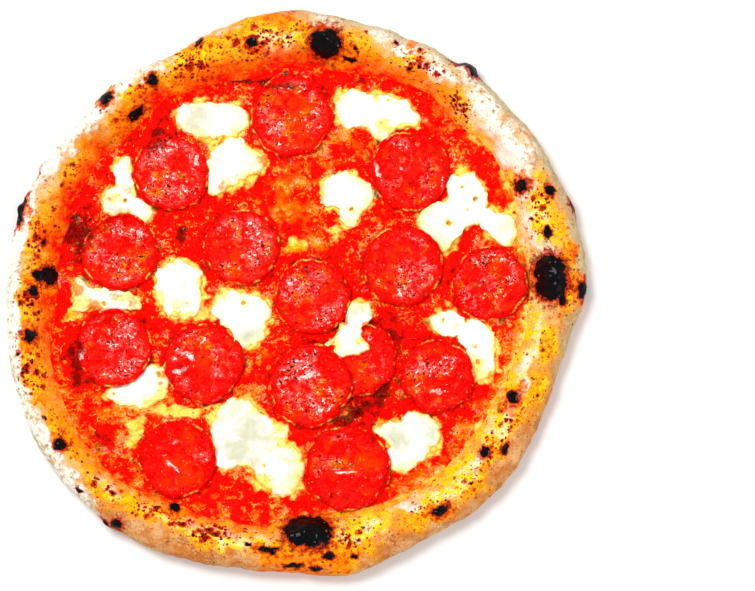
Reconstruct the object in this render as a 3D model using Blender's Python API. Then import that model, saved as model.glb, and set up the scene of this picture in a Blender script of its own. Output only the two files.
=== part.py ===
"""A whole round pizza: a puffed, blistered dough rim around a thin base, tomato sauce, melted
mozzarella patches and round salami slices.

Metres, +Z up. The origin is at the centre of the flat underside, +Y is the top of the pizza as
seen from above. Lengths in the tables and in the functions below are millimetres, until a body
is made. Angles in the tables are degrees anticlockwise from +X."""

import math

import bmesh
import bpy
import numpy as np
from mathutils import Matrix, Vector, noise
from mathutils.bvhtree import BVHTree

MM = 0.001

# Gap between touching bodies
GAP = 0.35

# Dough outline, base and rim, with values at equal steps of angle round the pizza
BASE_THICKNESS = 3.2
RIM_REACH = (160, 160, 158.5, 156.5, 155.5, 155, 154, 153.5, 154, 156, 154.5, 151,
             149, 154, 153.5, 155.5, 159, 159.5, 160, 161, 163.5, 165, 165, 164,
             161.5, 158, 155, 154.5, 159, 154.5, 154, 156, 155.5, 153, 151.5, 153.5)
SAUCE_REACH = (128.5, 128.5, 133.5, 129, 130, 125.5, 124, 122.5, 127, 127, 132, 131.5,
               132, 138.5, 141, 143, 133, 132, 124, 124, 128, 126.5, 126, 127.5)
RIM_HEIGHT = (18.5, 19, 20, 20.5, 19, 17.5, 17, 17.5, 18, 18.5, 18, 17.5,
              17.5, 18, 18, 17.5, 18, 19, 18.5, 18, 18, 17.5, 17.5, 18)
CREST_SHARE = 0.45
BELLY_SHARE = 0.42
FOOT_INSET = 6.5
SLOPE_RUN_OUT = 6.0

# Dough blisters as (x, y, radius, height)
BLISTERS = (
    (18, 136, 8.5, 3.6),
    (29, 134.5, 6.5, 1.8),
    (140, 10.5, 9.5, 3.6),
    (141.5, 1, 9, 3.2),
    (3.5, -131.5, 9, 3.8),
    (12, -132.5, 9.5, 3.6),
    (-138, 8.5, 6.5, 2.0),
    (-78.5, 116, 4, 1.2),
    (-104, 106.5, 5, 1.2),
    (95, 121, 8, 4.5),
    (125, 57, 4.5, 1.6),
    (144, 54, 4, 1.0),
    (121, 73, 17, 1.6),
    (80, 116, 11, 1.2),
    (-151.5, 45, 6, 2.0),
    (-142, 70, 5, 2.0),
    (-128, -85, 5, 1.2),
    (-14, -142, 5, 1.0),
    (19.5, -145, 4, 0.9),
    (105, -89, 5, 1.2),
    (80, -121, 5.5, 1.2),
    (120, -59, 5.5, 1.2),
    (-66, -119, 5, 1.2),
    (-97, -127, 5, 1.2),
    (64, -107, 5.5, 1.4),
)

# Spokes round the dough crowd together near the big blisters
SPOKES = 128
BIG_BLISTER_ANGLES = (82, 2.5, -86.5)
CROWDING = 1.4
CROWDING_SPREAD = 7.0

# Rings across the dough's rim, and the height and width of its lumps
LOWER_WALL_RINGS = 4
UPPER_WALL_RINGS = 5
INNER_WALL_RINGS = 6
BURIED_SLOPE_RINGS = 3
LUMP_HEIGHT = 0.8
LUMP_SIZE = 17.0
LOWEST_WALL_POINT = 0.4

# Tomato sauce: its top has rings at shares of its reach, on every, every 2nd or 4th spoke
SAUCE_THICKNESS = 1.5
SAUCE_EDGE_THICKNESS = 0.8
SAUCE_EDGE_WAVE = 1.2
SAUCE_EDGE_WAVE_SIZE = 14.0
SAUCE_RIPPLE = 0.5
SAUCE_RIPPLE_SIZE = 16.0
SAUCE_TOP_RINGS = (
    (1, (0.965, 0.92)),
    (2, (0.86, 0.78, 0.69, 0.60)),
    (4, (0.50, 0.38, 0.26, 0.13)),
)

# Mozzarella: each patch is a middle lobe and the lobes merged with it (x, y, radius)
MOZZARELLA_PATCHES = (
    ((-49, 95.5, 10.5), (-58.5, 96.5, 8), (-36.5, 95, 10)),
    ((-36, 70.5, 12), (-23.5, 72, 7.5), (-35.5, 79, 6), (-43.5, 61, 6)),
    ((46, 100, 10.5), (30.5, 101.5, 10.5), (58, 98, 8.5), (48.5, 88.5, 6.5), (66, 95, 3.5)),
    ((-96, 54, 7), (-96, 70, 5.5), (-95, 62, 5.5), (-98.5, 49, 8.5), (-86, 44.5, 7)),
    ((29.5, 53, 8.5), (25, 56.5, 9.5), (34, 52, 8.5), (30.5, 42, 5.5), (20, 52, 6)),
    ((96, 46, 10), (94, 57, 9.5), (80, 38, 11.5), (84, 28, 6.5), (113, 36, 9), (114, 29, 7)),
    ((-64, 1, 10), (-63, 6, 12), (-63, -5, 11), (-71, 3, 7.5)),
    ((-28, -13, 9.5), (-35.5, -9.5, 10.5), (-24.5, -12, 10.5), (-25.5, -23, 9)),
    ((30, -22, 6.5), (35, -12, 6.5), (39.5, -14, 4.5), (30, -30, 7), (36, -32, 4), (18, -27, 4.5)),
    ((-107, -5, 7), (-117, -3, 6.5), (-118.5, 3, 4.5), (-97, -6, 6), (-124, -13, 4.5), (-90, -5, 4)),
    ((98, -24, 9), (84, -17.5, 8), (78.5, -18, 4.5), (103, -30, 8.5), (102, -41, 8)),
    ((-85, -54.5, 10), (-96, -55.5, 6.5), (-76.5, -49, 8), (-102.5, -55.5, 3.5)),
    ((-24, -83, 12), (-31, -74, 15), (-35.5, -87.5, 11), (-14.5, -79.5, 10.5), (-8, -98.5, 14)),
    ((65, -83, 11), (54, -78.5, 7), (69, -78, 10.5), (58, -92, 7.5), (47.5, -75.5, 3.5)),
)
LOBE_BLEND = 2.6
PATCH_EDGE_WAVE = 0.7
PATCH_EDGE_WAVE_SIZE = 7.0
PATCH_THICKNESS = 1.7
PATCH_THICKNESS_PER_REACH = 0.05
PATCH_LUMP = 0.45
PATCH_LUMP_SIZE = 9.0
PATCH_FACET = 6.5
PATCH_FEWEST_SPOKES = 14
PATCH_MOST_SPOKES = 24
PATCH_UNDER_RINGS = (0.5, 0.965)
PATCH_TOP_RINGS = ((1.0, 0.38), (0.92, 0.84), (0.72, 0.97), (0.4, 1.0))

# Salami: each slice as (x, y, radius, curl of the edge, direction of the highest edge)
SALAMI_SLICES = (
    (-2.5, 97.5, 23, 1.3, 80),
    (-69, 66, 21.5, 1.7, 200),
    (63.5, 66.5, 22, 1.5, 20),
    (-97.5, 21.5, 21.5, 2.2, 150),
    (-30, 24.5, 21.5, 1.4, 300),
    (59, 14, 22, 1.2, 250),
    (10, -3.5, 21.5, 1.8, 120),
    (107.5, 4, 21, 1.6, 60),
    (-100, -31.5, 21.5, 2.4, 190),
    (-50.5, -40, 22, 1.5, 330),
    (36, -37, 20.5, 1.4, 10),
    (8.5, -52, 23, 1.6, 45),
    (78, -47, 20.5, 1.8, 320),
    (-64.5, -92, 21.5, 2.0, 120),
    (29, -97.5, 23.5, 1.6, 160),
)
SLICES_UNDER_CHEESE = (11,)
SLICE_THICKNESS = 1.7
SLICE_EDGE_THICKNESS = 1.1
SLICE_SPOKES = 18
SLICE_EDGE_WAVE = 0.35
SLICE_EDGE_WAVE_SIZE = 9.0
SLICE_UNDER_RINGS = (0.62, 0.985)
SLICE_TOP_RINGS = ((1.0, SLICE_EDGE_THICKNESS), (0.82, SLICE_THICKNESS), (0.45, SLICE_THICKNESS))

# Draping: samples along a facet's edge, rounds of smoothing and of lifting
FACET_SAMPLES = 5
SMOOTHING_ROUNDS = 3
LIFTING_ROUNDS = 15
CAST_FROM = 60.0

# Surfaces as (colour, roughness)
DOUGH_FINISH = ((0.78, 0.42, 0.13), 0.75)
SAUCE_FINISH = ((0.62, 0.02, 0.004), 0.35)
MOZZARELLA_FINISH = ((0.93, 0.88, 0.72), 0.42)
SALAMI_FINISH = ((0.50, 0.025, 0.015), 0.38)
SHARP_ANGLE = 60


def new_material(name, finish):
    """A Principled material in one colour."""
    colour, roughness = finish
    material = bpy.data.materials.new(name)
    material.use_nodes = True
    material.diffuse_color = (*colour, 1)
    shader = material.node_tree.nodes["Principled BSDF"]
    shader.inputs["Base Color"].default_value = (*colour, 1)
    shader.inputs["Roughness"].default_value = roughness
    return material


def around(values, angle):
    """A closed smooth curve through values at equal steps of angle, read at one angle."""
    spot = (angle / math.tau) % 1.0 * len(values)
    first = int(spot)
    t = spot - first
    before, here, after, beyond = (values[(first + k) % len(values)] for k in (-1, 0, 1, 2))
    bend = 2 * before - 5 * here + 4 * after - beyond
    twist = -before + 3 * here - 3 * after + beyond
    return here + 0.5 * t * (after - before + t * (bend + t * twist))


def ripple(x, y, size, layer):
    """Smooth noise of about -1 to 1 with bumps about as wide as size. Each layer differs."""
    return 2.0 * noise.noise(Vector((x / size, y / size, 7.3 * layer + 0.5)))


def turned(radius, angle):
    return radius * math.cos(angle), radius * math.sin(angle)


def spoke_angles():
    """Angles of the dough's spokes, closer together near the big blisters."""
    steps = np.linspace(0, math.tau, 1441)
    density = np.ones_like(steps)
    for degrees in BIG_BLISTER_ANGLES:
        away = np.angle(np.exp(1j * (steps - math.radians(degrees))))
        density += CROWDING * np.exp(-((away / math.radians(CROWDING_SPREAD)) ** 2))
    total = np.concatenate(([0], np.cumsum((density[1:] + density[:-1]) / 2)))
    return [float(a) for a in np.interp(np.arange(SPOKES) / SPOKES, total / total[-1], steps)]


def sauce_edge(angle):
    """The sauce's wavy reach at one angle."""
    reach = around(SAUCE_REACH, angle)
    return reach + SAUCE_EDGE_WAVE * ripple(*turned(reach, angle), SAUCE_EDGE_WAVE_SIZE, 3)


def rim_sizes(angle):
    """The outer reach, the crest's radius and height, and the inner foot's radius."""
    reach = around(RIM_REACH, angle)
    edge = sauce_edge(angle)
    crest = reach - CREST_SHARE * (reach - edge)
    return reach, crest, around(RIM_HEIGHT, angle), edge - SLOPE_RUN_OUT


def slope_height(radius, angle):
    """Height of the rim's inner slope, or of the base inside it, at one place."""
    _, crest, height, foot = rim_sizes(angle)
    share = min(max((crest - radius) / (crest - foot), 0.0), 1.0)
    return BASE_THICKNESS + (height - BASE_THICKNESS) * (0.5 + 0.5 * math.cos(math.pi * share))


def dough_section(angle):
    """Points (radius, height) up the outer wall, over the crest and down to the base."""
    reach, crest, height, foot = rim_sizes(angle)
    edge = sauce_edge(angle)
    belly = BELLY_SHARE * height
    points = []
    for k in range(LOWER_WALL_RINGS):
        turn = math.pi / 2 * (1 - k / LOWER_WALL_RINGS)
        points.append((reach - FOOT_INSET * (1 - math.cos(turn)), belly * (1 - math.sin(turn))))
    for k in range(UPPER_WALL_RINGS + 1):
        turn = math.pi / 2 * k / UPPER_WALL_RINGS
        radius = crest + (reach - crest) * math.cos(turn)
        points.append((radius, belly + (height - belly) * math.sin(turn)))
    for k in range(1, INNER_WALL_RINGS + 1):
        radius = crest + (edge - crest) * k / INNER_WALL_RINGS
        points.append((radius, slope_height(radius, angle)))
    for k in range(1, BURIED_SLOPE_RINGS + 1):
        radius = edge + (foot - edge) * k / BURIED_SLOPE_RINGS
        points.append((radius, slope_height(radius, angle)))
    return points


def blister_lift(x, y):
    lift = 0.0
    for blister_x, blister_y, radius, height in BLISTERS:
        away = math.hypot(x - blister_x, y - blister_y) / radius
        if away < 1:
            lift += height * (1 - away * away) ** 1.5
    return lift


def dough_rings(angles):
    """The dough's rings, with lumps and blisters raised along the section's normal."""
    sections = [dough_section(angle) for angle in angles]
    last = len(sections[0]) - 1 - BURIED_SLOPE_RINGS
    rings = []
    for k in range(len(sections[0])):
        ring = []
        for angle, section in zip(angles, sections):
            radius, height = section[k]
            if 0 < k < last:
                (r0, z0), (r1, z1) = section[k - 1], section[k + 1]
                length = math.hypot(r1 - r0, z1 - z0)
                x, y = turned(radius, angle)
                fade = math.sin(math.pi * k / last) ** 0.5
                lift = fade * (LUMP_HEIGHT * ripple(x, y, LUMP_SIZE, 1) + blister_lift(x, y))
                radius += lift * (z1 - z0) / length
                height = max(height + lift * (r0 - r1) / length, LOWEST_WALL_POINT)
            ring.append((*turned(radius, angle), height))
        rings.append(ring)
    return rings


def sauce_rings(angles, bed):
    """The sauce's rings from under its middle, over its edge, to the middle of its top. bed
    holds the dough's rings that it lies on."""
    rings = [[(x, y, z + GAP) for x, y, z in ring] for ring in reversed(bed)]
    rings.append([(x, y, z + SAUCE_EDGE_THICKNESS) for x, y, z in rings[-1]])
    for step, shares in SAUCE_TOP_RINGS:
        for share in shares:
            ring = []
            for angle in angles[::step]:
                radius = share * sauce_edge(angle)
                x, y = turned(radius, angle)
                thickness = SAUCE_THICKNESS + SAUCE_RIPPLE * ripple(x, y, SAUCE_RIPPLE_SIZE, 2)
                ring.append((x, y, slope_height(radius, angle) + GAP + thickness))
            rings.append(ring)
    return rings


def add_body(name, rings, tips, material):
    """A closed body through rings of points, each with as many points as the next or twice as
    many. The two tips close the first and the last ring."""
    bm = bmesh.new()
    rows = [[bm.verts.new(Vector(point) * MM) for point in ring] for ring in rings]
    for row, next_row in zip(rows, rows[1:]):
        join_rows(bm, row, next_row)
    for row, tip in zip((rows[0], rows[-1]), tips):
        middle = bm.verts.new(Vector(tip) * MM)
        for k, vertex in enumerate(row):
            bm.faces.new((row[k - 1], vertex, middle))
    bmesh.ops.recalc_face_normals(bm, faces=bm.faces)
    if bm.calc_volume(signed=True) < 0:
        bmesh.ops.reverse_faces(bm, faces=bm.faces)
    mesh = bpy.data.meshes.new(name)
    bm.to_mesh(mesh)
    bm.free()
    mesh.shade_smooth()
    mesh.set_sharp_from_angle(angle=math.radians(SHARP_ANGLE))
    mesh.materials.append(material)
    body = bpy.data.objects.new(name, mesh)
    bpy.context.scene.collection.objects.link(body)
    return body


def join_rows(bm, row, next_row):
    """Triangles between two rows of vertices, where either may have twice as many."""
    many, few = (row, next_row) if len(row) >= len(next_row) else (next_row, row)
    step = len(many) // len(few)
    for k in range(len(few)):
        near, far = few[k], few[(k + 1) % len(few)]
        fan = [many[(step * k + j) % len(many)] for j in range(step + 1)]
        bm.faces.new((fan[0], fan[1], near))
        bm.faces.new((fan[1], far, near))
        if step == 2:
            bm.faces.new((fan[1], fan[2], far))


def set_on(parent, body, spot):
    """Parents a body and moves its origin to a spot, with its mesh left where it is."""
    offset = Vector(spot) * MM
    body.data.transform(Matrix.Translation(-offset))
    body.location = offset
    body.parent = parent


class Ground:
    """The surface made by all bodies so far, which the next topping is laid on."""

    def __init__(self):
        self.points = []
        self.faces = []
        self.tree = None

    def add(self, body):
        first = len(self.points)
        self.points += [vertex.co + body.location for vertex in body.data.vertices]
        for face in body.data.polygons:
            self.faces.append([first + index for index in face.vertices])
        self.tree = BVHTree.FromPolygons(self.points, self.faces)

    def height(self, x, y):
        spot = self.tree.ray_cast(Vector((x, y, CAST_FROM)) * MM, Vector((0, 0, -1)))[0]
        return spot.z / MM


def polar_faces(rings, spokes):
    """Index triples of the facets between a middle point 0 and rings numbered outwards."""
    faces = []
    for k in range(spokes):
        after = (k + 1) % spokes
        faces.append((0, 1 + k, 1 + after))
        for ring in range(1, rings):
            inner, outer = 1 + (ring - 1) * spokes, 1 + ring * spokes
            faces.append((outer + k, outer + after, inner + k))
            faces.append((outer + after, inner + after, inner + k))
    return faces


def drape(ground, spots, faces, stiffness):
    """Heights of a sheet over spots (x, y) that lies on the ground and cuts into it nowhere."""
    spots = np.array(spots)
    faces = np.array(faces)
    lowest = np.array([ground.height(x, y) + GAP for x, y in spots])
    heights = lowest.copy()
    for _ in range(stiffness):
        near = np.zeros_like(heights)
        count = np.zeros_like(heights)
        for a, b in ((0, 1), (1, 2), (2, 0)):
            for one, other in ((a, b), (b, a)):
                np.add.at(near, faces[:, one], heights[faces[:, other]])
                np.add.at(count, faces[:, one], 1)
        heights = np.maximum(lowest, near / count)
    steps = range(FACET_SAMPLES + 1)
    shares = np.array([(i, j, FACET_SAMPLES - i - j) for i in steps for j in steps
                       if i + j <= FACET_SAMPLES]) / FACET_SAMPLES
    samples = np.einsum("sk,fkc->fsc", shares, spots[faces])
    floor = np.array([[ground.height(x, y) + GAP for x, y in row] for row in samples])
    for last in [False] * LIFTING_ROUNDS + [True]:
        lack = floor - np.einsum("sk,fk->fs", shares, heights[faces])
        worst = lack.argmax(axis=1)
        amount = np.maximum(lack.max(axis=1), 0)
        weight = np.ones((len(faces), 3)) if last else shares[worst] / (shares[worst] ** 2).sum(1)[:, None]
        raised = np.zeros_like(heights)
        np.maximum.at(raised, faces.ravel(), (amount[:, None] * weight).ravel())
        heights += raised
    return heights


def topping_rings(ground, centre, reaches, under_shares, top_rings, stiffness, lift, thickness):
    """Rings and tips of a topping that lies on the ground around a centre. reaches holds its
    reach on each spoke. lift(share, angle) raises the underside, and thickness(x, y, share,
    depth) is added to it for the top."""
    count = len(reaches)
    angles = [math.tau * k / count for k in range(count)]
    shares = (*under_shares, 1.0)
    spots = [centre]
    for share in shares:
        for reach, angle in zip(reaches, angles):
            x, y = turned(share * reach, angle)
            spots.append((centre[0] + x, centre[1] + y))
    heights = drape(ground, spots, polar_faces(len(shares), count), stiffness)
    middle = heights[0]
    under = heights[1:].reshape(len(shares), count)
    for row, share in zip(under, shares):
        row += [lift(share, angle) for angle in angles]
    rings = []
    for row, share in list(zip(under, shares))[:-1]:
        rings.append([ring_point(centre, share * reach, angle, z)
                      for reach, angle, z in zip(reaches, angles, row)])
    for share, depth in top_rings:
        ring = []
        for k, (reach, angle) in enumerate(zip(reaches, angles)):
            base = np.interp(share, (0, *shares), (middle, *under[:, k]))
            x, y, _ = ring_point(centre, share * reach, angle, 0)
            ring.append((x, y, base + thickness(x, y, depth)))
        rings.append(ring)
    tips = ((*centre, middle), (*centre, middle + thickness(*centre, top_rings[-1][1])))
    return rings, tips


def ring_point(centre, radius, angle, z):
    x, y = turned(radius, angle)
    return centre[0] + x, centre[1] + y, z


def patch_reach(lobes, centre, angle):
    """How far a patch of merged lobes runs from its centre in one direction."""
    reach = 0.0
    step = 0.25
    while True:
        x, y, _ = ring_point(centre, reach + step, angle, 0)
        fields = [LOBE_BLEND * (1 - ((x - lobe_x) ** 2 + (y - lobe_y) ** 2) / radius ** 2)
                  for lobe_x, lobe_y, radius in lobes]
        if sum(map(math.exp, fields)) < 1:
            return reach + PATCH_EDGE_WAVE * ripple(x, y, PATCH_EDGE_WAVE_SIZE, 4)
        reach += step


def add_mozzarella(name, lobes, ground, material):
    """One melted patch: a low lumpy dome with a rounded edge."""
    centre = lobes[0][:2]
    girth = math.tau * max(patch_reach(lobes, centre, side * math.pi / 4) for side in range(8))
    count = min(max(round(girth / PATCH_FACET), PATCH_FEWEST_SPOKES), PATCH_MOST_SPOKES)
    reaches = [patch_reach(lobes, centre, math.tau * k / count) for k in range(count)]
    full = PATCH_THICKNESS + PATCH_THICKNESS_PER_REACH * sum(reaches) / count

    def thickness(x, y, depth):
        return depth * (full + PATCH_LUMP * ripple(x, y, PATCH_LUMP_SIZE, 5))

    rings, tips = topping_rings(ground, centre, reaches, PATCH_UNDER_RINGS, PATCH_TOP_RINGS,
                                SMOOTHING_ROUNDS, lambda share, angle: 0.0, thickness)
    return add_body(name, rings, tips, material), tips[0]


def add_salami(name, sizes, ground, material):
    """One thin round slice whose edge curls up, most on one side."""
    x, y, radius, curl, high_side = sizes
    high = math.radians(high_side)
    reaches = []
    for k in range(SLICE_SPOKES):
        spot = ring_point((x, y), radius, math.tau * k / SLICE_SPOKES, 0)
        reaches.append(radius + SLICE_EDGE_WAVE * ripple(spot[0], spot[1], SLICE_EDGE_WAVE_SIZE, 6))

    def lift(share, angle):
        return curl * share ** 4 * (0.55 + 0.3 * math.cos(angle - high) + 0.15 * math.cos(3 * angle + x))

    rings, tips = topping_rings(ground, (x, y), reaches, SLICE_UNDER_RINGS, SLICE_TOP_RINGS,
                                SMOOTHING_ROUNDS, lift, lambda x, y, depth: depth)
    return add_body(name, rings, tips, material), tips[0]


def main():
    for old in list(bpy.data.objects):
        bpy.data.objects.remove(old, do_unlink=True)
    dough_material = new_material("baked_dough", DOUGH_FINISH)
    sauce_material = new_material("tomato", SAUCE_FINISH)
    mozzarella_material = new_material("mozzarella", MOZZARELLA_FINISH)
    salami_material = new_material("salami", SALAMI_FINISH)
    pizza = bpy.data.objects.new("pizza", None)
    bpy.context.scene.collection.objects.link(pizza)
    ground = Ground()

    angles = spoke_angles()
    rings = dough_rings(angles)
    dough = add_body("dough", rings, ((0, 0, 0), (0, 0, BASE_THICKNESS)), dough_material)
    dough.parent = pizza
    ground.add(dough)

    bed = rings[-1 - BURIED_SLOPE_RINGS:]
    middle = BASE_THICKNESS + GAP
    tips = ((0, 0, middle), (0, 0, middle + SAUCE_THICKNESS))
    sauce = add_body("tomato_sauce", sauce_rings(angles, bed), tips, sauce_material)
    sauce.parent = pizza
    ground.add(sauce)

    toppings = [("salami", number) for number in SLICES_UNDER_CHEESE]
    toppings += [("mozzarella", number) for number in range(1, len(MOZZARELLA_PATCHES) + 1)]
    toppings += [("salami", number) for number in range(1, len(SALAMI_SLICES) + 1)
                 if number not in SLICES_UNDER_CHEESE]
    for kind, number in toppings:
        name = f"{kind}_{number:02d}"
        if kind == "salami":
            body, spot = add_salami(name, SALAMI_SLICES[number - 1], ground, salami_material)
        else:
            lobes = MOZZARELLA_PATCHES[number - 1]
            body, spot = add_mozzarella(name, lobes, ground, mozzarella_material)
        set_on(pizza, body, spot)
        ground.add(body)


main()
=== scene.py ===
import math

import bpy
import numpy as np
from mathutils import Matrix, Vector, noise
from mathutils.bvhtree import BVHTree


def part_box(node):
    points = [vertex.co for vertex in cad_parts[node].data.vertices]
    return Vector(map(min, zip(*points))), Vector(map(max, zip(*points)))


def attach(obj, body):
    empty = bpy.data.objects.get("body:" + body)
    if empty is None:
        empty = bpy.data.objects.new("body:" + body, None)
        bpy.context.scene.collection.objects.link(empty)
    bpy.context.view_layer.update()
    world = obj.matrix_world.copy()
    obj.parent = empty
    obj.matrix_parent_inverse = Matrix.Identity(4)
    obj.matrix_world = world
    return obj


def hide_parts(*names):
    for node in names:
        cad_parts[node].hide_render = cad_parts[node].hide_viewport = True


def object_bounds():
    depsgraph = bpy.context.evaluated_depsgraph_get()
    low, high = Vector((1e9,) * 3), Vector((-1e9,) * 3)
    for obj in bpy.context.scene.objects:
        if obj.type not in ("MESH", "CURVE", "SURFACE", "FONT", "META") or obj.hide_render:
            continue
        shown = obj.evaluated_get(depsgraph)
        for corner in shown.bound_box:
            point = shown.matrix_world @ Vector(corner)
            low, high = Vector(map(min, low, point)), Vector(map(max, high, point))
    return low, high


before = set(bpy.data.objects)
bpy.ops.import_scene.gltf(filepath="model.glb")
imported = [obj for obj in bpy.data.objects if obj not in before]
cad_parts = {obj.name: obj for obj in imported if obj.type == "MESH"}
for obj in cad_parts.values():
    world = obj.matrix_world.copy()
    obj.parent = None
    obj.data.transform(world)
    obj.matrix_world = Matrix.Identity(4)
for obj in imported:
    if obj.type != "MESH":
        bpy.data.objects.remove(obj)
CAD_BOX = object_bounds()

bl_info = {
    "name": "Salami Pizza",
    "version": (1, 0, 0),
    "blender": (4, 5, 0),
    "location": "View3D > Sidebar > Pizza",
    "description": "Bakes a whole round pizza with tomato, mozzarella and salami on its solids",
    "category": "Object",
}

# Lengths in the tables and shape functions are millimetres, angles in tables are degrees
# anticlockwise from +X
MM = 0.001

# Where the rays that feel for a solid's underside start, in metres
RAY_START = -0.01

BASE_THICKNESS = 3.2

# Dough outline, sauce reach, rim height, and share of clean yellow slope beside the sauce on the
# side that faces the light, at equal steps of angle round the pizza. There the slope is painted
# paler: partly oily yellow, partly painted highlight.
RIM_REACH = (160, 160, 158.5, 156.5, 155.5, 155, 154, 153.5, 154, 156, 154.5, 151,
             149, 154, 153.5, 155.5, 159, 159.5, 160, 161, 163.5, 165, 165, 164,
             161.5, 158, 155, 154.5, 159, 154.5, 154, 156, 155.5, 153, 151.5, 153.5)
SAUCE_REACH = (128.5, 128.5, 133.5, 129, 130, 125.5, 124, 122.5, 127, 127, 132, 131.5,
               132, 138.5, 141, 143, 133, 132, 124, 124, 128, 126.5, 126, 127.5)
RIM_HEIGHT = (18.5, 19, 20, 20.5, 19, 17.5, 17, 17.5, 18, 18.5, 18, 17.5,
              17.5, 18, 18, 17.5, 18, 19, 18.5, 18, 18, 17.5, 17.5, 18)
LIT_SIDE_SHARE = (1, 0.95, 0.3, 0, 0, 0.1, 0, 0.55, 0.45, 0.55, 0.85, 1)

# The rim's section and relief. The relief fades in and out along a scale that reaches WALL_END up
# the outer wall, CREST_END over the crest and SLOPE_END down the inner slope.
CREST_SHARE = 0.45
BELLY_SHARE = 0.42
FOOT_INSET = 6.5
SLOPE_RUN_OUT = 6.0
LUMP_HEIGHT, LUMP_SIZE = 0.8, 17.0
CREASE_SIZE, BUMP_SIZE = 9, 3.4
CHAR_LIFT = 0.35
LEAST_HEIGHT = 0.03
WALL_END, CREST_END, SLOPE_END = 4, 9, 15

# Painted shade on the outer wall, grey where it turns away from the light: its least share round
# the pizza and near the floor, the angle in radians where it is fullest, how narrow that stretch
# is, and the heights between which the painted shade comes in below the crest and above the floor
WALL_SHADE_AWAY, WALL_SHADE_LOW, WALL_SHADE_ANGLE, WALL_SHADE_NARROWNESS = 0.2, 0.25, 0.6, 2.2
BELOW_CREST, ABOVE_FLOOR = (20.5, 12.5), (3, 9)

# Where small blisters are scattered on the rim: above a height, in clusters of a size and
# contrast, and a few anywhere
BLISTERED_ABOVE, CLUSTER_SIZE, CLUSTER_CONTRAST, FEW_ANYWHERE = 9, 9, 2.5, 0.02

# Dough blisters as (x, y, radius, height)
BLISTERS = (
    (18, 136, 8.5, 3.6), (29, 134.5, 6.5, 1.8), (140, 10.5, 9.5, 3.6), (141.5, 1, 9, 3.2),
    (3.5, -131.5, 9, 3.8), (12, -132.5, 9.5, 3.6), (-138, 8.5, 6.5, 2), (-78.5, 116, 4, 1.2),
    (-104, 106.5, 5, 1.2), (95, 121, 8, 4.5), (125, 57, 4.5, 1.6), (144, 54, 4, 1), (121, 73, 17, 1.6),
    (80, 116, 11, 1.2), (-151.5, 45, 6, 2), (-142, 70, 5, 2), (-128, -85, 5, 1.2), (-14, -142, 5, 1),
    (19.5, -145, 4, 0.9), (105, -89, 5, 1.2), (80, -121, 5.5, 1.2), (120, -59, 5.5, 1.2),
    (-66, -119, 5, 1.2), (-97, -127, 5, 1.2), (64, -107, 5.5, 1.4),
)

# Burnt spots on the rim, and the browned patches round them, as (x, y, radius, stretch along the
# rim)
CHAR_SPOTS = (
    (17.5, 136.5, 7.2, 1.1), (140, 10.5, 7.6, 1), (141.3, 2.5, 7.8, 1.1), (4, -131.5, 7.6, 1.1),
    (11.5, -132.5, 7.8, 1.1), (-136.5, 9, 4.6, 1), (-141.5, 8.5, 2.6, 1), (-143.8, -0.5, 2.2, 1.2),
    (-23.4, 136.7, 2.6, 1), (-78.4, 116.3, 3, 1), (-104.2, 106.4, 2.8, 1.4), (30, 128, 0.9, 4),
    (34.5, 134, 0.9, 1.2), (95.1, 121.3, 2.2, 3.2), (125, 57, 3.4, 1), (140.6, 53.6, 2, 1.4),
    (153, 47, 1.8, 3), (139.4, 30.5, 2, 1.3), (146.5, -6.5, 2.2, 1.2), (157.5, -0.5, 2, 2),
    (-151.8, 45.5, 2.6, 3.2), (-145.5, -24.8, 3.2, 1.1), (-127.9, -85, 2.8, 1.1), (-141, 70.5, 1.3, 3),
    (-13.5, -142, 1.5, 3.6), (19.5, -145.2, 2, 1.5), (104.8, -88.8, 2.2, 1.4), (115.5, -87.8, 1.7, 1.6),
    (80, -120.7, 2.2, 2), (63.5, -107, 2, 2.2), (120.2, -59, 3, 1.1), (-65.7, -119, 2.4, 1.1),
    (-96, -127.3, 2.3, 1.3), (-102.6, -126.8, 1.2, 2.4), (-88, 99, 2, 2.6), (-88.5, 88.5, 1.8, 2),
    (0, -150.5, 1, 4.5), (12, -152, 0.9, 3.5), (34, -146, 1, 2), (-24, -139, 1, 1.4),
    (56, 136, 1.1, 1.2), (134, 84, 0.9, 1.8), (-53.5, 137.5, 1.3, 1.8), (-136.5, -70.5, 0.9, 1.2),
    (-118, -109, 1, 2),
)
BROWNED_SPOTS = (
    (3, -152, 6, 3.5), (-12, -148, 4, 2), (26, -148, 4, 2), (66, 138, 3, 1.5), (45, 128, 3, 1.5),
    (131, 85, 1.4, 1.6), (18, 136, 10.5, 1), (27.5, 132, 6.5, 1), (140.5, 6, 12, 1.3),
    (8, -133, 13.5, 1.1), (-138.5, 8, 8, 1.1), (-78, 116, 4.5, 1.2), (-104, 106.5, 4.5, 1.5),
    (125, 57, 5, 1), (-151, 45.5, 4.5, 2.2), (-145, -24.5, 6, 1.3), (-128, -85, 6, 1.2),
    (120, -59, 7, 1.1), (80, -120, 5, 1.8), (64, -107, 4.5, 2), (-66, -119, 5, 1.2), (156, 0, 5, 1.8),
    (-89, 96, 5, 2), (-14, -143, 3, 3.5), (104, -88, 4, 1.6), (19, -147, 5, 3), (-8, 150.5, 5, 2),
    (152, 20, 3, 1.5), (-137, -60, 3, 1.5),
)

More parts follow.
